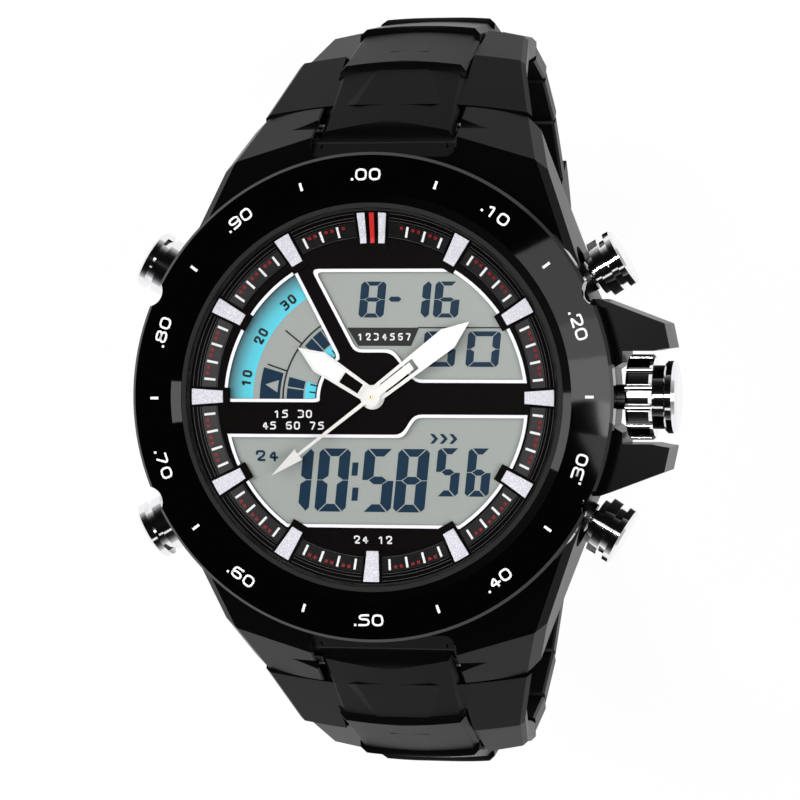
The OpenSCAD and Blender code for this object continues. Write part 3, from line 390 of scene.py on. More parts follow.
# Hour markers: silver whose bright grains are painted glints, with a red middle bar at 12 o'clock
MARKER = MarkerFinish("marker_silver", (0.55, 0.54, 0.6), 0.4)
HAND_RIM = Finish("hand_silver", (0.72, 0.71, 0.68), 0.3, metallic=0.35)
PRINT_WHITE = Finish("print_white", (0.75, 0.75, 0.75), 0.4)
PRINT_RED = Finish("print_red", (0.2, 0.008, 0.01), 0.45)
# Thin grey lines on the minute ring: painted highlights of its grooves and steps
RING_GROOVE_HIGHLIGHT = Finish("painted_groove_highlight", (0.05, 0.048, 0.05), 0.5)
LABEL_BLACK = Finish("print_black", (0.004, 0.004, 0.004), 0.4)
INK = Finish("display_navy", (0.002, 0.02, 0.045), 0.35, specular=0.2)
FILL_WHITE = Finish("hand_white", (0.9, 0.9, 0.9), 0.5)
# Fan cyan: bright near the middle and darkening towards the outer rim, a painted shadow of the window frame
FAN_CYAN_FRAME_SHADE = RadialPaintedLight(
    "display_cyan_frame_shade",
    (0.07, 0.54, 0.68),
    0.4,
    centre=DISPLAY_CENTRE,
    stops=(
        (0.0, (0.075, 0.55, 0.68)),
        (0.35, (0.08, 0.46, 0.55)),
        (0.75, (0.06, 0.2, 0.24)),
        (1.0, (0.04, 0.11, 0.13)),
    ),
)
# Minute track: near black at 12 and 6 o'clock and greyer towards 3 and 9 o'clock, a painted sheen over a
# dark band
RING_TRACK_SHEEN = RadialPaintedLight(
    "print_track_painted_sheen",
    (0.02, 0.019, 0.02),
    0.5,
    weights=(1.0, 0.0),
    near=5.0,
    far=16.0,
    stops=((0.0, (0.0012, 0.001, 0.001)), (0.6, (0.012, 0.011, 0.012)), (1.0, (0.028, 0.026, 0.028))),
)
CLEAR = Finish("clear_crystal", (0.0, 0.0, 0.0), 0.0, alpha=0.05)


NODE_FINISHES: Dict[str, Finish] = {
    "case_body": CASE_BLACK,
    "bezel": BEZEL_BLACK,
    "crystal": CLEAR,
    "crystal_gasket": RUBBER,
    "chapter_ring": DIAL_BLACK,
    "hour_markers": MARKER,
    "dial": DIAL_BLACK,
    "window_frames": FRAME_WHITE,
    "lcd_panel": DISPLAY,
    "movement_plate": HOLDER,
    "circuit_board": BOARD,
    "motor_coil": COPPER,
    "case_gasket": RUBBER,
    "hour_hand": HAND_RIM,
    "minute_hand": HAND_RIM,
    "second_hand": HAND_RIM,
    "hour_wheel": BRASS,
    "cannon_pinion": BRASS,
    "second_arbor": BRASS,
    "minute_wheel": BRASS,
    "crown": CHROME,
}
PREFIX_FINISHES: Dict[str, Finish] = {
    "pusher_spring": STEEL,
    "pusher_tubes": STEEL,
    "pusher": CHROME,
    "upper_link": LINK_BLACK,
    "lower_link": LINK_BLACK,
    "clasp_cover": LINK_BLACK,
}


def finish_of(node: str) -> Finish:
    """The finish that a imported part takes: by its full name, then by its family, else steel."""
    if node in NODE_FINISHES:
        return NODE_FINISHES[node]
    for prefix, finish in PREFIX_FINISHES.items():
        if node.startswith(prefix):
            return finish
    return STEEL


def dress_nodes(nodes: Dict[str, bpy.types.Object]) -> None:
    """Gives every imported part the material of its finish."""
    for name, piece in nodes.items():
        material = finish_of(name).build()
        slots = piece.data.materials
        if len(slots):
            for index in range(len(slots)):
                slots[index] = material
        else:
            slots.append(material)
        LOG.info("part %s wears %s", name, material.name)


# Flat outlines for printed marks and display segments


@dataclass
class Flat:
    """A flat figure in the dial's plane: points in millimetres and faces that look up."""

    points: np.ndarray
    faces: List[Tuple[int, ...]]

    def moved(self, shift: Pair = (0.0, 0.0), turn: float = 0.0, slant: float = 0.0) -> "Flat":
        """Leans the figure, turns it clockwise by an angle in degrees and then shifts it."""
        x = self.points[:, 0] + slant * self.points[:, 1]
        y = self.points[:, 1]
        c, s = math.cos(math.radians(turn)), math.sin(math.radians(turn))
        moved = np.column_stack((c * x + s * y + shift[0], c * y - s * x + shift[1]))
        return Flat(moved, self.faces)

    @staticmethod
    def joined(parts: Sequence["Flat"]) -> "Flat":
        """Puts several figures into one, with the faces renumbered."""
        starts = np.cumsum([0] + [len(part.points) for part in parts])
        faces = [
            tuple(int(start) + index for index in face)
            for start, part in zip(starts, parts)
            for face in part.faces
        ]
        return Flat(np.vstack([part.points for part in parts]), faces)


def polygon(points: Sequence[Pair]) -> Flat:
    """One face through the points, turned so that it looks up."""
    ring = np.asarray(points, float)
    following = np.roll(ring, -1, axis=0)
    area = np.sum(ring[:, 0] * following[:, 1] - ring[:, 1] * following[:, 0])
    return Flat(ring if area > 0 else ring[::-1], [tuple(range(len(ring)))])


def rectangle(width: float, height: float) -> Flat:
    """A rectangle about the origin."""
    w, h = width / 2, height / 2
    return polygon([(-w, -h), (w, -h), (w, h), (-w, h)])


def polar(radius: np.ndarray, angle: np.ndarray) -> np.ndarray:
    """Points at a radius and at an angle in degrees clockwise from 12 o'clock."""
    a = np.radians(angle)
    return np.stack((radius * np.sin(a), radius * np.cos(a)), axis=-1)


def sector(inner: float, outer: float, start: float, end: float) -> Flat:
    """A piece of a ring between two radii and two clock angles, split every 2 degrees or less.

    The points stand on a grid of two radii by the angles, and each face joins four neighbours.
    """
    count = max(2, int(abs(end - start) / 2) + 2)
    angle, radius = np.meshgrid(np.linspace(start, end, count), (inner, outer), indexing="ij")
    points = polar(radius, angle).reshape(-1, 2)
    first = 2 * np.arange(count - 1)
    faces = np.column_stack((first, first + 1, first + 3, first + 2))
    if end > start:
        faces = faces[:, ::-1]
    return Flat(points, [tuple(int(i) for i in face) for face in faces])


def rounded_path(
    points: Sequence[Pair], radius: float, closed: bool, steps: int = 4, most: float = 0.47
) -> np.ndarray:
    """Rounds a path's corners with short curves.

    Each corner P becomes (1-s)^2 A + 2s(1-s) P + s^2 B for s from 0 to 1, where A and B lie on its two
    sides, a radius away from it but no farther than the share `most` of a side.
    """
    path = np.asarray(points, float)
    back, ahead = np.roll(path, 1, axis=0) - path, np.roll(path, -1, axis=0) - path
    spans = [np.linalg.norm(side, axis=1, keepdims=True) for side in (back, ahead)]
    start = path + back * np.minimum(most, radius / spans[0])
    end = path + ahead * np.minimum(most, radius / spans[1])
    s = np.linspace(0.0, 1.0, steps + 1)[None, :, None]
    curve = (1 - s) ** 2 * start[:, None] + 2 * s * (1 - s) * path[:, None] + s**2 * end[:, None]
    if closed:
        return curve.reshape(-1, 2)
    return np.vstack((path[:1], curve[1:-1].reshape(-1, 2), path[-1:]))


def ribbon(path: np.ndarray, width: float, closed: bool, sharpest: float = 0.5) -> Flat:
    """A band of even width along a path.

    Each point gets a left and a right edge point half a width away along the mean normal of its two
    sides, lengthened by 1 / cosine at a bend so that the band keeps its width; `sharpest` is the least
    cosine. An open band ends half a width past its last points.
    """
    if not closed:
        ends = [path[0] - path[1], path[-1] - path[-2]]
        ends = [end / np.linalg.norm(end) * width / 2 for end in ends]
        path = np.vstack((path[0] + ends[0], path[1:-1], path[-1] + ends[1]))
    step = np.roll(path, -1, axis=0) - path
    if not closed:
        step[-1] = step[-2]
    step /= np.linalg.norm(step, axis=1, keepdims=True)
    before = np.roll(step, 1, axis=0)
    if not closed:
        before[0] = step[0]
    mean = step + before
    mean /= np.linalg.norm(mean, axis=1, keepdims=True)
    stretch = 1.0 / np.maximum(np.sum(mean * step, axis=1, keepdims=True), sharpest)
    normal = np.column_stack((-mean[:, 1], mean[:, 0])) * stretch * width / 2
    count = len(path)
    here = np.arange(count if closed else count - 1)
    there = (here + 1) % count
    faces = np.column_stack((here + count, there + count, there, here))
    return Flat(np.vstack((path + normal, path - normal)), [tuple(int(i) for i in f) for f in faces])


# Strokes of the plain figures in a box one wide and one high: closed loops and open lines
Stroke = Tuple[bool, Tuple[Pair, ...]]
SIX: Tuple[Stroke, ...] = (
    (False, ((0.9, 1), (0, 0.98), (0, 0.3))),
    (True, ((0, 0), (1, 0), (1, 0.56), (0, 0.56))),
)
FIGURES: Dict[str, Tuple[Stroke, ...]] = {
    "0": ((True, ((0, 0), (1, 0), (1, 1), (0, 1))),),
    "1": ((False, ((0.15, 0.76), (0.58, 1), (0.58, 0))),),
    "2": ((False, ((0, 0.72), (0, 1), (1, 1), (1, 0.55), (0, 0), (1, 0))),),
    "3": (
        (False, ((0, 1), (1, 1), (1, 0.53), (0.3, 0.53))),
        (False, ((0.3, 0.53), (1, 0.53), (1, 0), (0, 0))),
    ),
    "4": ((False, ((0.75, 0), (0.75, 1), (0, 0.3), (1.05, 0.3))),),
    "5": ((False, ((0.95, 1), (0.08, 1), (0.05, 0.58), (1, 0.6), (1, 0), (0, 0))),),
    "6": SIX,
    "7": ((False, ((0, 1), (1, 1), (0.35, 0))),),
    "8": (
        (True, ((0.04, 0.54), (0.96, 0.54), (0.96, 1), (0.04, 1))),
        (True, ((0, 0), (1, 0), (1, 0.54), (0, 0.54))),
    ),
    "9": tuple((closed, tuple((1 - x, 1 - y) for x, y in path)) for closed, path in SIX),
}


@dataclass(frozen=True)
class Numerals:
    """Plain drawn figures of one size: outer width and height, stroke and pitch."""

    width: float
    height: float
    stroke: float
    pitch: float
    corner: float = 0.35

    def figure(self, figure: str) -> Flat:
        """One figure, centred, with its strokes' middle lines inside its outer size."""
        size = np.array((self.width - self.stroke, self.height - self.stroke))
        parts = []
        for closed, path in FIGURES[figure]:
            points = (np.asarray(path) - 0.5) * size
            curve = rounded_path(points, self.corner * self.width, closed)
            parts.append(ribbon(curve, self.stroke, closed))
        return Flat.joined(parts)

    def line(self, text: str) -> Flat:
        """A row of figures about its middle; a space leaves one place empty."""
        middle = (len(text) - 1) / 2
        row = [(place - middle, figure) for place, figure in enumerate(text) if figure != " "]
        return Flat.joined([self.figure(figure).moved((x * self.pitch, 0.0)) for x, figure in row])


# The segments that each figure of the display lights, and the lean of all of them
LIT: Dict[str, str] = {"0": "abcdef", "1": "bc", "5": "acdfg", "6": "acdefg", "8": "abcdefg"}
SLANT = 0.098


@dataclass(frozen=True)
class SegmentFigure:
    """A seven-segment figure of the display, with bevelled segments that lean to the right."""

    height: float
    spacing: float
    upright: float
    level: float
    gap: float = 0.07
    corner: float = 0.35
    tip_gap: float = 1.5
    point: float = 0.1

    def segments(self) -> Dict[str, Flat]:
        """Outlines of the seven segments, worked out for the right half and mirrored.

        The outer corners lose a share of the upright's width, the tips of the top keep their gap times
        `tip_gap`, and `point` cuts the middle bar's ends back.
        """
        sx, w, h, t, g = self.spacing / 2, self.upright / 2, self.height / 2, self.level, self.gap
        cut = self.corner * self.upright
        right = [
            (sx - w, h - t - g),
            (sx - w + t, h - g),
            (sx + w - cut, h),
            (sx + w, h - cut),
            (sx + w, g / 2),
            (sx, g / 2),
            (sx - w, t / 2 + g / 2),
        ]
        level_end, tip = sx - w - g, sx - w + t - self.tip_gap * g
        top = [(tip, h), (level_end, h - t), (-level_end, h - t), (-tip, h)]
        middle = [(sx - g - self.point * w, 0), (level_end, t / 2), (-level_end, t / 2)]
        middle += [(-x, -y) for x, y in middle]
        return {
            "a": polygon(top),
            "b": polygon(right),
            "c": polygon([(x, -y) for x, y in right]),
            "d": polygon([(x, -y) for x, y in top]),
            "e": polygon([(-x, -y) for x, y in right]),
            "f": polygon([(-x, y) for x, y in right]),
            "g": polygon(middle),
        }

    def flat(self, figure: str, centre: Pair) -> Flat:
        """The lit segments of one figure about a place in the dial's plane."""
        segments = self.segments()
        return Flat.joined([segments[key] for key in LIT[figure]]).moved(centre, slant=SLANT)


# Pieces made here


def new_object(name: str, data: bpy.types.ID) -> bpy.types.Object:
    """Puts a mesh, a light or a camera into the scene as an object."""
    thing = bpy.data.objects.new(name, data)
    bpy.context.scene.collection.objects.link(thing)
    return thing


def make_piece(
    name: str,
    points: np.ndarray,
    faces: Sequence[Tuple[int, ...]],
    finish: Finish,
    body: str,
    thickness: float,
) -> None:
    """Makes a mesh piece in place and lets it ride on a body.

    Args:
        name: the piece's name.
        points: its points in millimetres, one row each.
        faces: its faces, which look outwards.
        finish: the finish it wears.
        body: the body it rides on.
        thickness: wall in millimetres that Solidify raises on the outer side.
    """
    mesh = bpy.data.meshes.new(name)
    mesh.from_pydata((points * MM).tolist(), [], [tuple(face) for face in faces])
    mesh.validate()
    piece = new_object(name, mesh)
    mesh.materials.append(finish.build())
    wall = piece.modifiers.new("wall", "SOLIDIFY")
    wall.thickness = thickness * MM
    wall.offset = 1.0
    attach(piece, body)
    LOG.info("piece %s: %d faces on %s", name, len(faces), body)


@dataclass
class Print:
    """Marks of one colour that lie on one surface, gathered as flat figures."""

    name: str
    finish: Finish
    height: Place
    body: str = "case"
    slot: str = "white_print"
    thickness: float = 0.015
    centre: Pair = (0.0, 0.0)
    parts: List[Flat] = field(default_factory=list)

    def add(self, flat: Flat, shift: Pair = (0.0, 0.0), turn: float = 0.0) -> None:
        """Adds a figure, turned clockwise and then shifted."""
        self.parts.append(flat.moved(shift, turn))

    def add_at(self, flat: Flat, radius: float, angle: float, inverted: bool = False) -> None:
        """Adds a figure at a clock angle, with its top outwards, or inwards when inverted."""
        x, y = polar(np.array(radius), np.array(angle))
        self.add(flat, (float(x), float(y)), angle + (180.0 if inverted else 0.0))

    def lay(self) -> None:
        """Lays the gathered marks on their surface: each point takes the surface's height."""
        flat = Flat.joined(self.parts).moved(self.centre)
        points = np.column_stack((flat.points, self.height(flat.points)))
        make_piece(self.name, points, flat.faces, self.finish, self.body, self.thickness)


def level(height: float) -> Place:
    """A flat surface at one height."""
    return lambda points: np.full(len(points), height)


def cone(height_at: Place) -> Place:
    """A surface whose height follows from the distance to the axis."""
    return lambda points: height_at(np.linalg.norm(points, axis=1))


@dataclass
class BezelMarks:
    """The bezel's ten numbers and the ticks between them, printed on its sloping face."""

    numerals: Numerals = Numerals(1.2, 1.22, 0.21, 1.42)
    number_radius: float = 22.7
    tick_radius: float = 22.6
    tick: Pair = (0.27, 0.85)
    dot: float = 0.24
    dot_gap: float = 0.92
    lift: float = 0.004
    step: float = 36.0
    turn: float = -0.38
    inverted: Sequence[int] = (3, 4, 5, 6, 7)

    def number(self, tens: int) -> Flat:
        """A number such as .50: two figures about their middle with a dot before them."""
        pair = self.numerals.line(f"{tens}0")
        low = (self.dot - self.numerals.height) / 2
        dot = rectangle(self.dot, self.dot).moved((-self.numerals.pitch / 2 - self.dot_gap, low))
        return Flat.joined([pair, dot])

    def build(self) -> None:
        """Prints the numbers and ticks."""
        marks = Print("bezel_numbers", PRINT_WHITE, cone(lambda r: HEAD.bezel_height(r) + self.lift))
        for tens in range(10):
            angle = self.step * tens + self.turn
            marks.add_at(self.number(tens), self.number_radius, angle, tens in self.inverted)
            marks.add_at(rectangle(*self.tick), self.tick_radius, angle + self.step / 2)
        marks.lay()


@dataclass
class MinuteMarks:
    """The minute ring's track with painted sheen, grey lines of painted highlights, white ticks and red
    squares.
    """

    tick: Pair = (0.24, 1.1)
    tick_radius: float = 17.2
    square: float = 0.32
    square_radius: float = 17.5
    square_angles: Pair = (2.0, 4.0)
    track: Pair = (16.5, 17.95)
    track_t: float = 0.004
    # Radii of the thin grey lines: painted highlights where the ring's grooves would catch the light
    lines: Tuple[float, ...] = (16.42, 18.1, 18.4, 18.82)
    line_width: float = 0.05
    line_t: float = 0.008
    marker_room: float = 3.2
    double_room: float = 9.0
    covered: Sequence[int] = (1, 59)
    lift: float = 0.004

    def build(self) -> None:
        """Prints the track, a tick at every minute that no marker covers, and squares between them.

        The double marker at 12 o'clock also covers the minutes beside it and some of the squares.
        """
        self.rings()
        on_ring = cone(lambda r: HEAD.ring_height(r) + 3 * self.lift)
        ticks = Print("minute_ticks", PRINT_WHITE, on_ring)
        squares = Print("minute_squares", PRINT_RED, on_ring)
        for minute in (each for each in range(60) if each % 5):
            if minute not in self.covered:
                ticks.add_at(rectangle(*self.tick), self.tick_radius, MINUTE * minute)
            if minute % 5 == 4:
                continue
            for extra in self.square_angles:
                angle = MINUTE * minute + extra
                if min(angle, 360.0 - angle) > self.double_room:
                    squares.add_at(rectangle(self.square, self.square), self.square_radius, angle)
        ticks.lay()
        squares.lay()

    def rings(self) -> None:
        """Prints the track's field, grey towards the sides as painted sheen, and its thin grey lines,
        painted highlights of the ring's grooves, from one marker to the next.
        """
        on_ring = cone(lambda r: HEAD.ring_height(r) + self.lift)
        # The track's grey, which rises towards 3 and 9 o'clock, is painted sheen
        track = Print("minute_track_sheen", RING_TRACK_SHEEN, on_ring, slot="dial_black", thickness=self.track_t)
        # The grey lines are painted highlights of the ring's grooves
        lines = Print("minute_groove_highlights", RING_GROOVE_HIGHLIGHT, on_ring, thickness=self.line_t)
        half = self.line_width / 2
        for hour in range(12):
            start, end = HOUR * hour + self.marker_room, HOUR * (hour + 1) - self.marker_room
            track.add(sector(*self.track, start, end))
            for radius in self.lines:
                lines.add(sector(radius - half, radius + half, start, end))
        track.lay()
        lines.lay()


class Layer(Enum):
    """How many small steps above the display's glass a print lies."""

    FIELD = 0.5
    INK = 1.0
    NUMBERS = 3.0
    LABEL = 5.0


def display_sheet(name: str, finish: Finish, layer: Layer, slot: str = "display_glass") -> Print:
    """An empty print on the display's glass, at the height of its layer."""
    height = HEAD.display_z + layer.value * HEAD.display_step
    return Print(name, finish, level(height), slot=slot, centre=DISPLAY_CENTRE)


@dataclass(frozen=True)
class SegmentRow:
    """One row of the display: the look of its figures, each with its place along X, and its height."""

    look: SegmentFigure
    figures: Tuple[Tuple[str, float], ...]
    y: float

    def add_to(self, ink: Print) -> None:
        """Adds the row's lit segments to a print."""
        for figure, x in self.figures:
            ink.add(self.look.flat(figure, (x, self.y)))


@dataclass
class Fan:
    """The fan at the display's upper left. Its angles are degrees before 12 o'clock."""

    span: Pair = (27.2, 92.0)
    rim: Pair = (12.3, 15.6)
    numerals: Numerals = Numerals(0.72, 1.05, 0.24, 0.95)
    numbers: Tuple[Tuple[str, float], ...] = (("30", 40.5), ("20", 60.5), ("10", 80.5))
    numbers_radius: float = 13.15
    hub: Pair = (5.5, 6.85)
    hub_spans: Tuple[Pair, ...] = ((27.2, 51.2), (74.4, 92.0))
    bars: Pair = (7.0, 8.75)
    bar_spans: Tuple[Pair, ...] = ((28.5, 35.4), (36.2, 43.3), (44.1, 51.2), (74.6, 81.2), (82.2, 89.6))
    box: Pair = (9.75, 11.6)
    box_span: Pair = (73.4, 91.0)
    box_foot: float = 9.45
    window: Pair = (77.6, 86.4)
    triangle: Pair = (78.2, 85.8)
    triangle_tip: Pair = (11.1, 82.0)
    arcs: Tuple[Pair, ...] = ((9.05, 9.23), (5.55, 5.75))
    long_tick: Pair = (0.17, 2.2)
    long_tick_radius: float = 10.25
    long_ticks: Tuple[float, ...] = (51.3, 71.4)
    short_tick: Pair = (0.16, 0.75)
    short_tick_radius: float = 6.05
    short_ticks: Tuple[float, ...] = (31.0, 38.0, 45.0, 76.0, 83.0, 90.0)

    def part(self, radii: Pair, span: Pair) -> Flat:
        """A piece of the fan between two radii and two of its angles."""
        return sector(*radii, -span[0], -span[1])

    def add_ink(self, ink: Print) -> None:
        """Adds the navy bars, and the box in parts about a triangle that shows the glass."""
        for span in self.bar_spans:
            ink.add(self.part(self.bars, span))
        low, high = self.box
        tip_radius, tip_angle = self.triangle_tip
        radius = np.array([low, low, tip_radius, high, high])
        ink.add(self.part((self.box_foot, low), self.box_span))
        for edge, side, corner in zip(self.box_span, self.window, self.triangle):
            ink.add(self.part(self.box, (edge, side)))
            angle = -np.array([side, corner, tip_angle, tip_angle, side])
            ink.add(polygon([tuple(point) for point in polar(radius, angle)]))

    def add_lines(self, black: Print) -> None:
        """Adds the thin arcs and the two rows of ticks."""
        for radii in self.arcs:
            black.add(self.part(radii, self.span))
        for angle in self.long_ticks:
            black.add_at(rectangle(*self.long_tick), self.long_tick_radius, -angle)
        for angle in self.short_ticks:
            black.add_at(rectangle(*self.short_tick), self.short_tick_radius, -angle)

    def build(self) -> None:
        """Lays the cyan fields, whose colour darkens towards the outer rim as a painted shadow of the
        window frame, and the small figures on them.
        """
        # The cyan field carries a painted shadow: it darkens towards the rim that the frame would shade
        cyan = display_sheet("fan_field_shaded", FAN_CYAN_FRAME_SHADE, Layer.FIELD)
        cyan.add(self.part(self.rim, self.span))
        for span in self.hub_spans:
            cyan.add(self.part(self.hub, span))
        cyan.lay()
        small = display_sheet("fan_numbers", LABEL_BLACK, Layer.NUMBERS)
        for text, angle in self.numbers:
            small.add_at(self.numerals.line(text), self.numbers_radius, -angle)
        small.lay()


@dataclass
class DisplayMarks:
    """Everything the display panel shows: the date and day above, the time and seconds below, the fan."""

    rows: Tuple[SegmentRow, ...] = (
        SegmentRow(
            SegmentFigure(6.48, 2.12, 1.15, 0.79),
            (("1", -7.76), ("0", -3.91), ("5", 0.82), ("8", 4.33)),
            -8.25,
        ),
        SegmentRow(SegmentFigure(4.93, 1.55, 0.93, 0.62), (("5", 8.12), ("6", 11.3)), -7.36),
        SegmentRow(
            SegmentFigure(3.67, 1.76, 0.87, 0.42, gap=0.05),
            (("8", 0.26), ("1", 4.96), ("6", 8.0)),
            10.26,
        ),
        SegmentRow(SegmentFigure(3.62, 2.6, 0.8, 0.5, gap=0.05), (("5", 7.24), ("0", 11.76)), 5.21),
    )
    colon: Tuple[Pair, ...] = ((-1.57, -7.11), (-1.57, -9.68))
    colon_dot: Pair = (0.63, 1.36)
    dash: Tuple[Pair, ...] = ((-0.67, 0), (-0.4, 0.26), (0.4, 0.26), (0.67, 0), (0.4, -0.26), (-0.4, -0.26))
    dash_place: Pair = (2.61, 10.3)
    small: Numerals = Numerals(1.0, 1.15, 0.24, 1.3)
    small_place: Pair = (-10.85, -5.8)
    chevron: Tuple[Pair, ...] = ((-0.35, -0.5), (0.1, 0), (-0.35, 0.5), (0.05, 0.5), (0.5, 0), (0.05, -0.5))
    chevron_places: Tuple[Pair, ...] = ((6.6, -3.95), (7.6, -3.95), (8.6, -3.95))
    label: Tuple[Pair, ...] = ((-2.37, 7.39), (5.14, 7.39), (4.29, 5.52), (-1.22, 5.52))
    label_numerals: Numerals = Numerals(0.5, 0.75, 0.14, 0.84)
    label_place: Pair = (1.5, 6.46)
    rule: Tuple[Pair, ...] = ((5.0, 7.46), (15.4, 7.46), (15.4, 7.32), (5.0, 7.32))
    fan: Fan = field(default_factory=Fan)

    def ink(self) -> None:
        """Lays the navy segments and the small signs."""
        ink = display_sheet("display_ink", INK, Layer.INK)
        for row in self.rows:
            row.add_to(ink)
        for place in self.colon:
            ink.add(rectangle(*self.colon_dot).moved(place, slant=SLANT))
        ink.add(polygon(self.dash), self.dash_place)
        ink.add(self.small.line("24"), self.small_place)
        for place in self.chevron_places:
            ink.add(polygon(self.chevron), place)
        self.fan.add_ink(ink)
        ink.lay()

    def lines(self) -> None:
        """Lays the black label, the rule beside it and the fan's thin lines."""
        black = display_sheet("display_lines", LABEL_BLACK, Layer.INK)
        black.add(polygon(self.label))
        black.add(polygon(self.rule))
        self.fan.add_lines(black)
        black.lay()

    def build(self) -> None:
        """Lays all that the display shows."""
        self.ink()
        self.lines()
        self.fan.build()
        label = display_sheet("label_numbers", PRINT_WHITE, Layer.LABEL, "white_print")
        label.add(self.label_numerals.line("1234567"), self.label_place)
        label.lay()


@dataclass
class DialFigures:
    """Plain figures printed on the dial: two rows left of the middle and one under the lower window."""

    numerals: Numerals = Numerals(0.62, 0.82, 0.14, 0.84)
    rows: Tuple[Tuple[str, Pair], ...] = (
        ("15 30", (-8.4, -1.75)),
        ("45 60 75", (-8.4, -2.95)),
        ("24 12", (0.0, -14.6)),
    )
    lift: float = 0.004

    def build(self) -> None:
        """Prints the three rows."""
        figures = Print("dial_figures", PRINT_WHITE, level(HEAD.dial_z + self.lift))
        for text, place in self.rows:
            figures.add(self.numerals.line(text), place)
        figures.lay()


@dataclass(frozen=True)
class Blade:
    """A hand's direction, clockwise from 12, its length, its broadest place and half its width there.

    The fill of the hand begins at its start.
    """

    angle: float
    length: float
    broad: float
    start: float
    half: float = 1.14


@dataclass
class HandFills:
    """The white fills of the hour and minute hands and the second hand's tail."""

    hour: Blade = Blade(303.0, 9.3, 6.6, 4.0)
    minute: Blade = Blade(52.6, 12.7, 9.9, 5.95)
    root_at: float = 0.6
    root_half: float = 0.85
    rim: float = 0.3
    lift: float = 0.001
    thickness: float = 0.03
    tail: Pair = (0.8, 5.3)
    tail_width: float = 0.84
    tail_angle: float = 52.3
    tail_thickness: float = 0.11
    tail_gap: float = 0.01

    def fill(self, name: str, body: str, top: float, blade: Blade) -> None:
        """Lays one fill, whose edge runs inside the hand's, a rim away from it.

        Args:
            name: the piece's name.
            body: the body it rides on.
            top: height of the hand's upper face.
            blade: the hand that it fills.
        """
        flare = (blade.half - self.root_half) / (blade.broad - self.root_at)
        narrow = self.root_half + flare * (blade.start - self.root_at) - self.rim
        wide = blade.half - self.rim
        tip = blade.length - self.rim * (blade.length - blade.broad) / blade.half
        left = [(-narrow, blade.start), (-wide, blade.broad), (0.0, tip)]
        ring = polygon(left + [(wide, blade.broad), (narrow, blade.start)])
        fill = Print(name, FILL_WHITE, level(top + self.lift), body, "white_hands", self.thickness)
        fill.add(ring, turn=blade.angle)
        fill.lay()

    def build(self) -> None:
        """Fills both hands and lays the tail, which points away from the second hand's tip."""
        self.fill("hour_fill", "hour_train", HEAD.hour_top, self.hour)
        self.fill("minute_fill", "minute_train", HEAD.minute_top, self.minute)
        start, end = self.tail
        bottom = level(HEAD.second_top - self.tail_thickness - self.tail_gap)
        tail = Print("second_tail", HAND_RIM, bottom, "second_train", "white_hands", self.tail_thickness)
        tail.add_at(rectangle(self.tail_width, end - start), (start + end) / 2, self.tail_angle)
        tail.lay()


# Studio


@dataclass(frozen=True)
class Lamp:
    """One soft panel of light: its place, size and power, and whether glossy faces mirror it.

    A panel faces the watch, or straight down where it hangs level.
    """

    name: str
    place: Triple
    size: Pair
    power: float
    mirrored: bool = True
    level: bool = False

    def build(self, target: Vector) -> None:
        """Hangs the panel, level or turned to the target."""
        data = bpy.data.lights.new(self.name, "AREA")
        data.shape = "RECTANGLE"
        data.size, data.size_y = self.size
        data.energy = self.power
        lamp = new_object(self.name, data)
        lamp.location = self.place
        lamp.visible_glossy = self.mirrored
        if not self.level:
            lamp.rotation_euler = (target - Vector(self.place)).to_track_quat("-Z", "Y").to_euler()


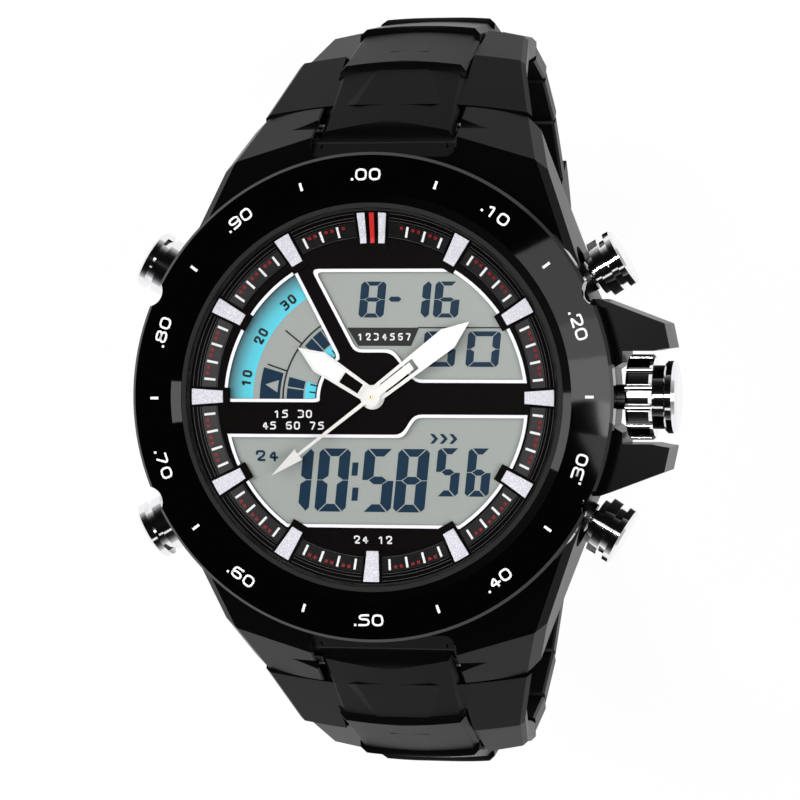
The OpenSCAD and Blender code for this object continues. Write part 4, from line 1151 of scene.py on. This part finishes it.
@dataclass
class Studio:
    """Camera, pale floor, world and soft panels.

    The small cards overhead are what the bezel's slope, the guards and the bezel's inner rim mirror to
    the camera, each hung where a ray from the camera goes on from that face.
    """

    azimuth: float = 11.62
    elevation: float = 1.25
    distance: float = 0.380
    aim_z: float = 0.0155
    pixels_per_mm: float = 9.83
    centre_px: Pair = (368.9, 397.6)
    frame_px: float = 800.0
    sensor: float = 36.0
    clip_start: float = 0.01
    floor_z: float = -0.0659
    floor_half: float = 6.0
    floor_tone: Colour = (0.4, 0.4, 0.4)
    floor_roughness: float = 0.9
    floor_glow: float = 1.06
    glow_share: float = 0.9
    lamp_aim: Triple = (0.0, 0.0, 0.005)
    heights: Tuple[Pair, ...] = ((0.0, 0.6), (0.2, 0.35), (0.38, 0.1), (0.55, 0.015), (0.75, 0.004))
    lamps: Sequence[Lamp] = field(
        default_factory=lambda: (
            Lamp("left_fill", (-0.7, 0.35, 0.9), (0.6, 0.9), 14.0, False),
            Lamp("right_fill", (0.7, -0.2, 0.9), (0.6, 0.9), 11.0, False),
            Lamp("left_panel", (-1.0, 0.1, 0.3), (0.3, 0.9), 1.5),
            Lamp("right_panel", (1.0, 0.0, 0.28), (0.3, 0.9), 1.0),
            Lamp("bezel_card", (0.0425, 0.0805, 0.6), (0.075, 0.061), 0.016, level=True),
            Lamp("bezel_lower_card", (0.0525, 0.035, 0.6), (0.055, 0.03), 0.0079, level=True),
            Lamp("bezel_middle_card", (0.055, 0.001, 0.6), (0.05, 0.038), 0.0146, level=True),
            Lamp("bezel_edge_card", (0.07275, -0.03, 0.6), (0.0145, 0.024), 0.0042, level=True),
            Lamp("bezel_end_card", (0.07, -0.0735, 0.6), (0.02, 0.063), 0.0038, level=True),
            Lamp("guard_card", (-0.05, 0.05, 0.6), (0.06, 0.06), 0.5),
            Lamp("rim_card", (0.31, 0.0, 0.6), (0.12, 0.46), 0.35),
            Lamp("low_rim_card", (0.06, -0.43, 0.6), (0.34, 0.1), 0.1),
        )
    )

    def camera(self) -> None:
        """Sets the camera where the photograph was taken.

        The direction to the camera is given by an angle towards +X and one towards +Y from the dial's
        axis; +Y stays upright in the picture. The lens follows from the scale at the bezel.
        """
        a, e = math.radians(self.azimuth), math.radians(self.elevation)
        back = Vector((math.sin(a) * math.cos(e), math.sin(e), math.cos(a) * math.cos(e)))
        right = Vector((0.0, 1.0, 0.0)).cross(back).normalized()
        up = back.cross(right)
        data = bpy.data.cameras.new("photo_camera")
        data.sensor_width = self.sensor
        data.lens = self.pixels_per_mm * self.distance / MM * data.sensor_width / self.frame_px
        half = self.frame_px / 2
        data.shift_x = (half - self.centre_px[0]) / self.frame_px
        data.shift_y = (self.centre_px[1] - half) / self.frame_px
        data.clip_start = self.clip_start
        camera = new_object("photo_camera", data)
        turn = Matrix((right, up, back)).transposed().to_4x4()
        camera.matrix_world = Matrix.Translation(Vector((0, 0, self.aim_z)) + back * self.distance) @ turn
        bpy.context.scene.camera = camera

    def floor(self) -> None:
        """Lays a pale floor that shows white to the camera and in metal, and keeps a soft shadow."""
        mesh = bpy.data.meshes.new("floor")
        half = self.floor_half
        corners = [(-half, -half), (half, -half), (half, half), (-half, half)]
        mesh.from_pydata([(x, y, self.floor_z) for x, y in corners], [], [(0, 1, 2, 3)])
        floor = new_object("floor", mesh)
        mat = bpy.data.materials.new("pale_floor")
        mat.use_nodes = True
        nodes, links = mat.node_tree.nodes, mat.node_tree.links
        shader = nodes["Principled BSDF"]
        feed(shader, {"Base Color": (*self.floor_tone, 1.0), "Roughness": self.floor_roughness})
        feed(shader, {"Specular IOR Level": 0.0})
        glow = nodes.new("ShaderNodeEmission")
        feed(glow, {"Strength": self.floor_glow})
        path = nodes.new("ShaderNodeLightPath")
        share = number_node(nodes, "MULTIPLY", self.glow_share)
        mix = nodes.new("ShaderNodeMixShader")
        seen = path.outputs["Is Camera Ray"]
        for ray in ("Is Glossy Ray", "Is Transmission Ray"):
            either = number_node(nodes, "MAXIMUM")
            links.new(seen, either.inputs[0])
            links.new(path.outputs[ray], either.inputs[1])
            seen = either.outputs[0]
        links.new(seen, share.inputs[0])
        links.new(share.outputs[0], mix.inputs["Fac"])
        links.new(shader.outputs["BSDF"], mix.inputs[1])
        links.new(glow.outputs["Emission"], mix.inputs[2])
        links.new(mix.outputs["Shader"], nodes["Material Output"].inputs["Surface"])
        mesh.materials.append(mat)

    def world(self) -> None:
        """Fills the room: black overhead, paler towards the horizon, white to the camera."""
        world = bpy.data.worlds.new("studio_world")
        bpy.context.scene.world = world
        world.use_nodes = True
        nodes, links = world.node_tree.nodes, world.node_tree.links
        nodes.clear()
        out = nodes.new("ShaderNodeOutputWorld")
        room = nodes.new("ShaderNodeBackground")
        white = nodes.new("ShaderNodeBackground")
        feed(white, {"Color": (1.0, 1.0, 1.0, 1.0)})
        where = nodes.new("ShaderNodeTexCoord")
        split = nodes.new("ShaderNodeSeparateXYZ")
        ramp = nodes.new("ShaderNodeValToRGB")
        fill_ramp(ramp, [(height, (shade, shade, shade)) for height, shade in self.heights])
        path = nodes.new("ShaderNodeLightPath")
        mix = nodes.new("ShaderNodeMixShader")
        links.new(where.outputs["Generated"], split.inputs["Vector"])
        links.new(split.outputs["Z"], ramp.inputs["Fac"])
        links.new(ramp.outputs["Color"], room.inputs["Color"])
        links.new(path.outputs["Is Camera Ray"], mix.inputs["Fac"])
        links.new(room.outputs["Background"], mix.inputs[1])
        links.new(white.outputs["Background"], mix.inputs[2])
        links.new(mix.outputs["Shader"], out.inputs["Surface"])

    def build(self) -> None:
        """Builds the whole studio."""
        self.camera()
        self.floor()
        self.world()
        for lamp in self.lamps:
            lamp.build(Vector(self.lamp_aim))
        bpy.context.scene.view_settings.view_transform = "Standard"
        LOG.info("studio set with %d panels", len(self.lamps))


def main() -> None:
    """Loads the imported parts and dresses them."""
    logging.basicConfig(level=logging.INFO, format="%(message)s")
    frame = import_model()
    dress_nodes(frame["nodes"])
    for group in (BezelMarks(), MinuteMarks(), DisplayMarks(), DialFigures(), HandFills()):
        group.build()
    Studio().build()


if __name__ == "__main__":
    main()
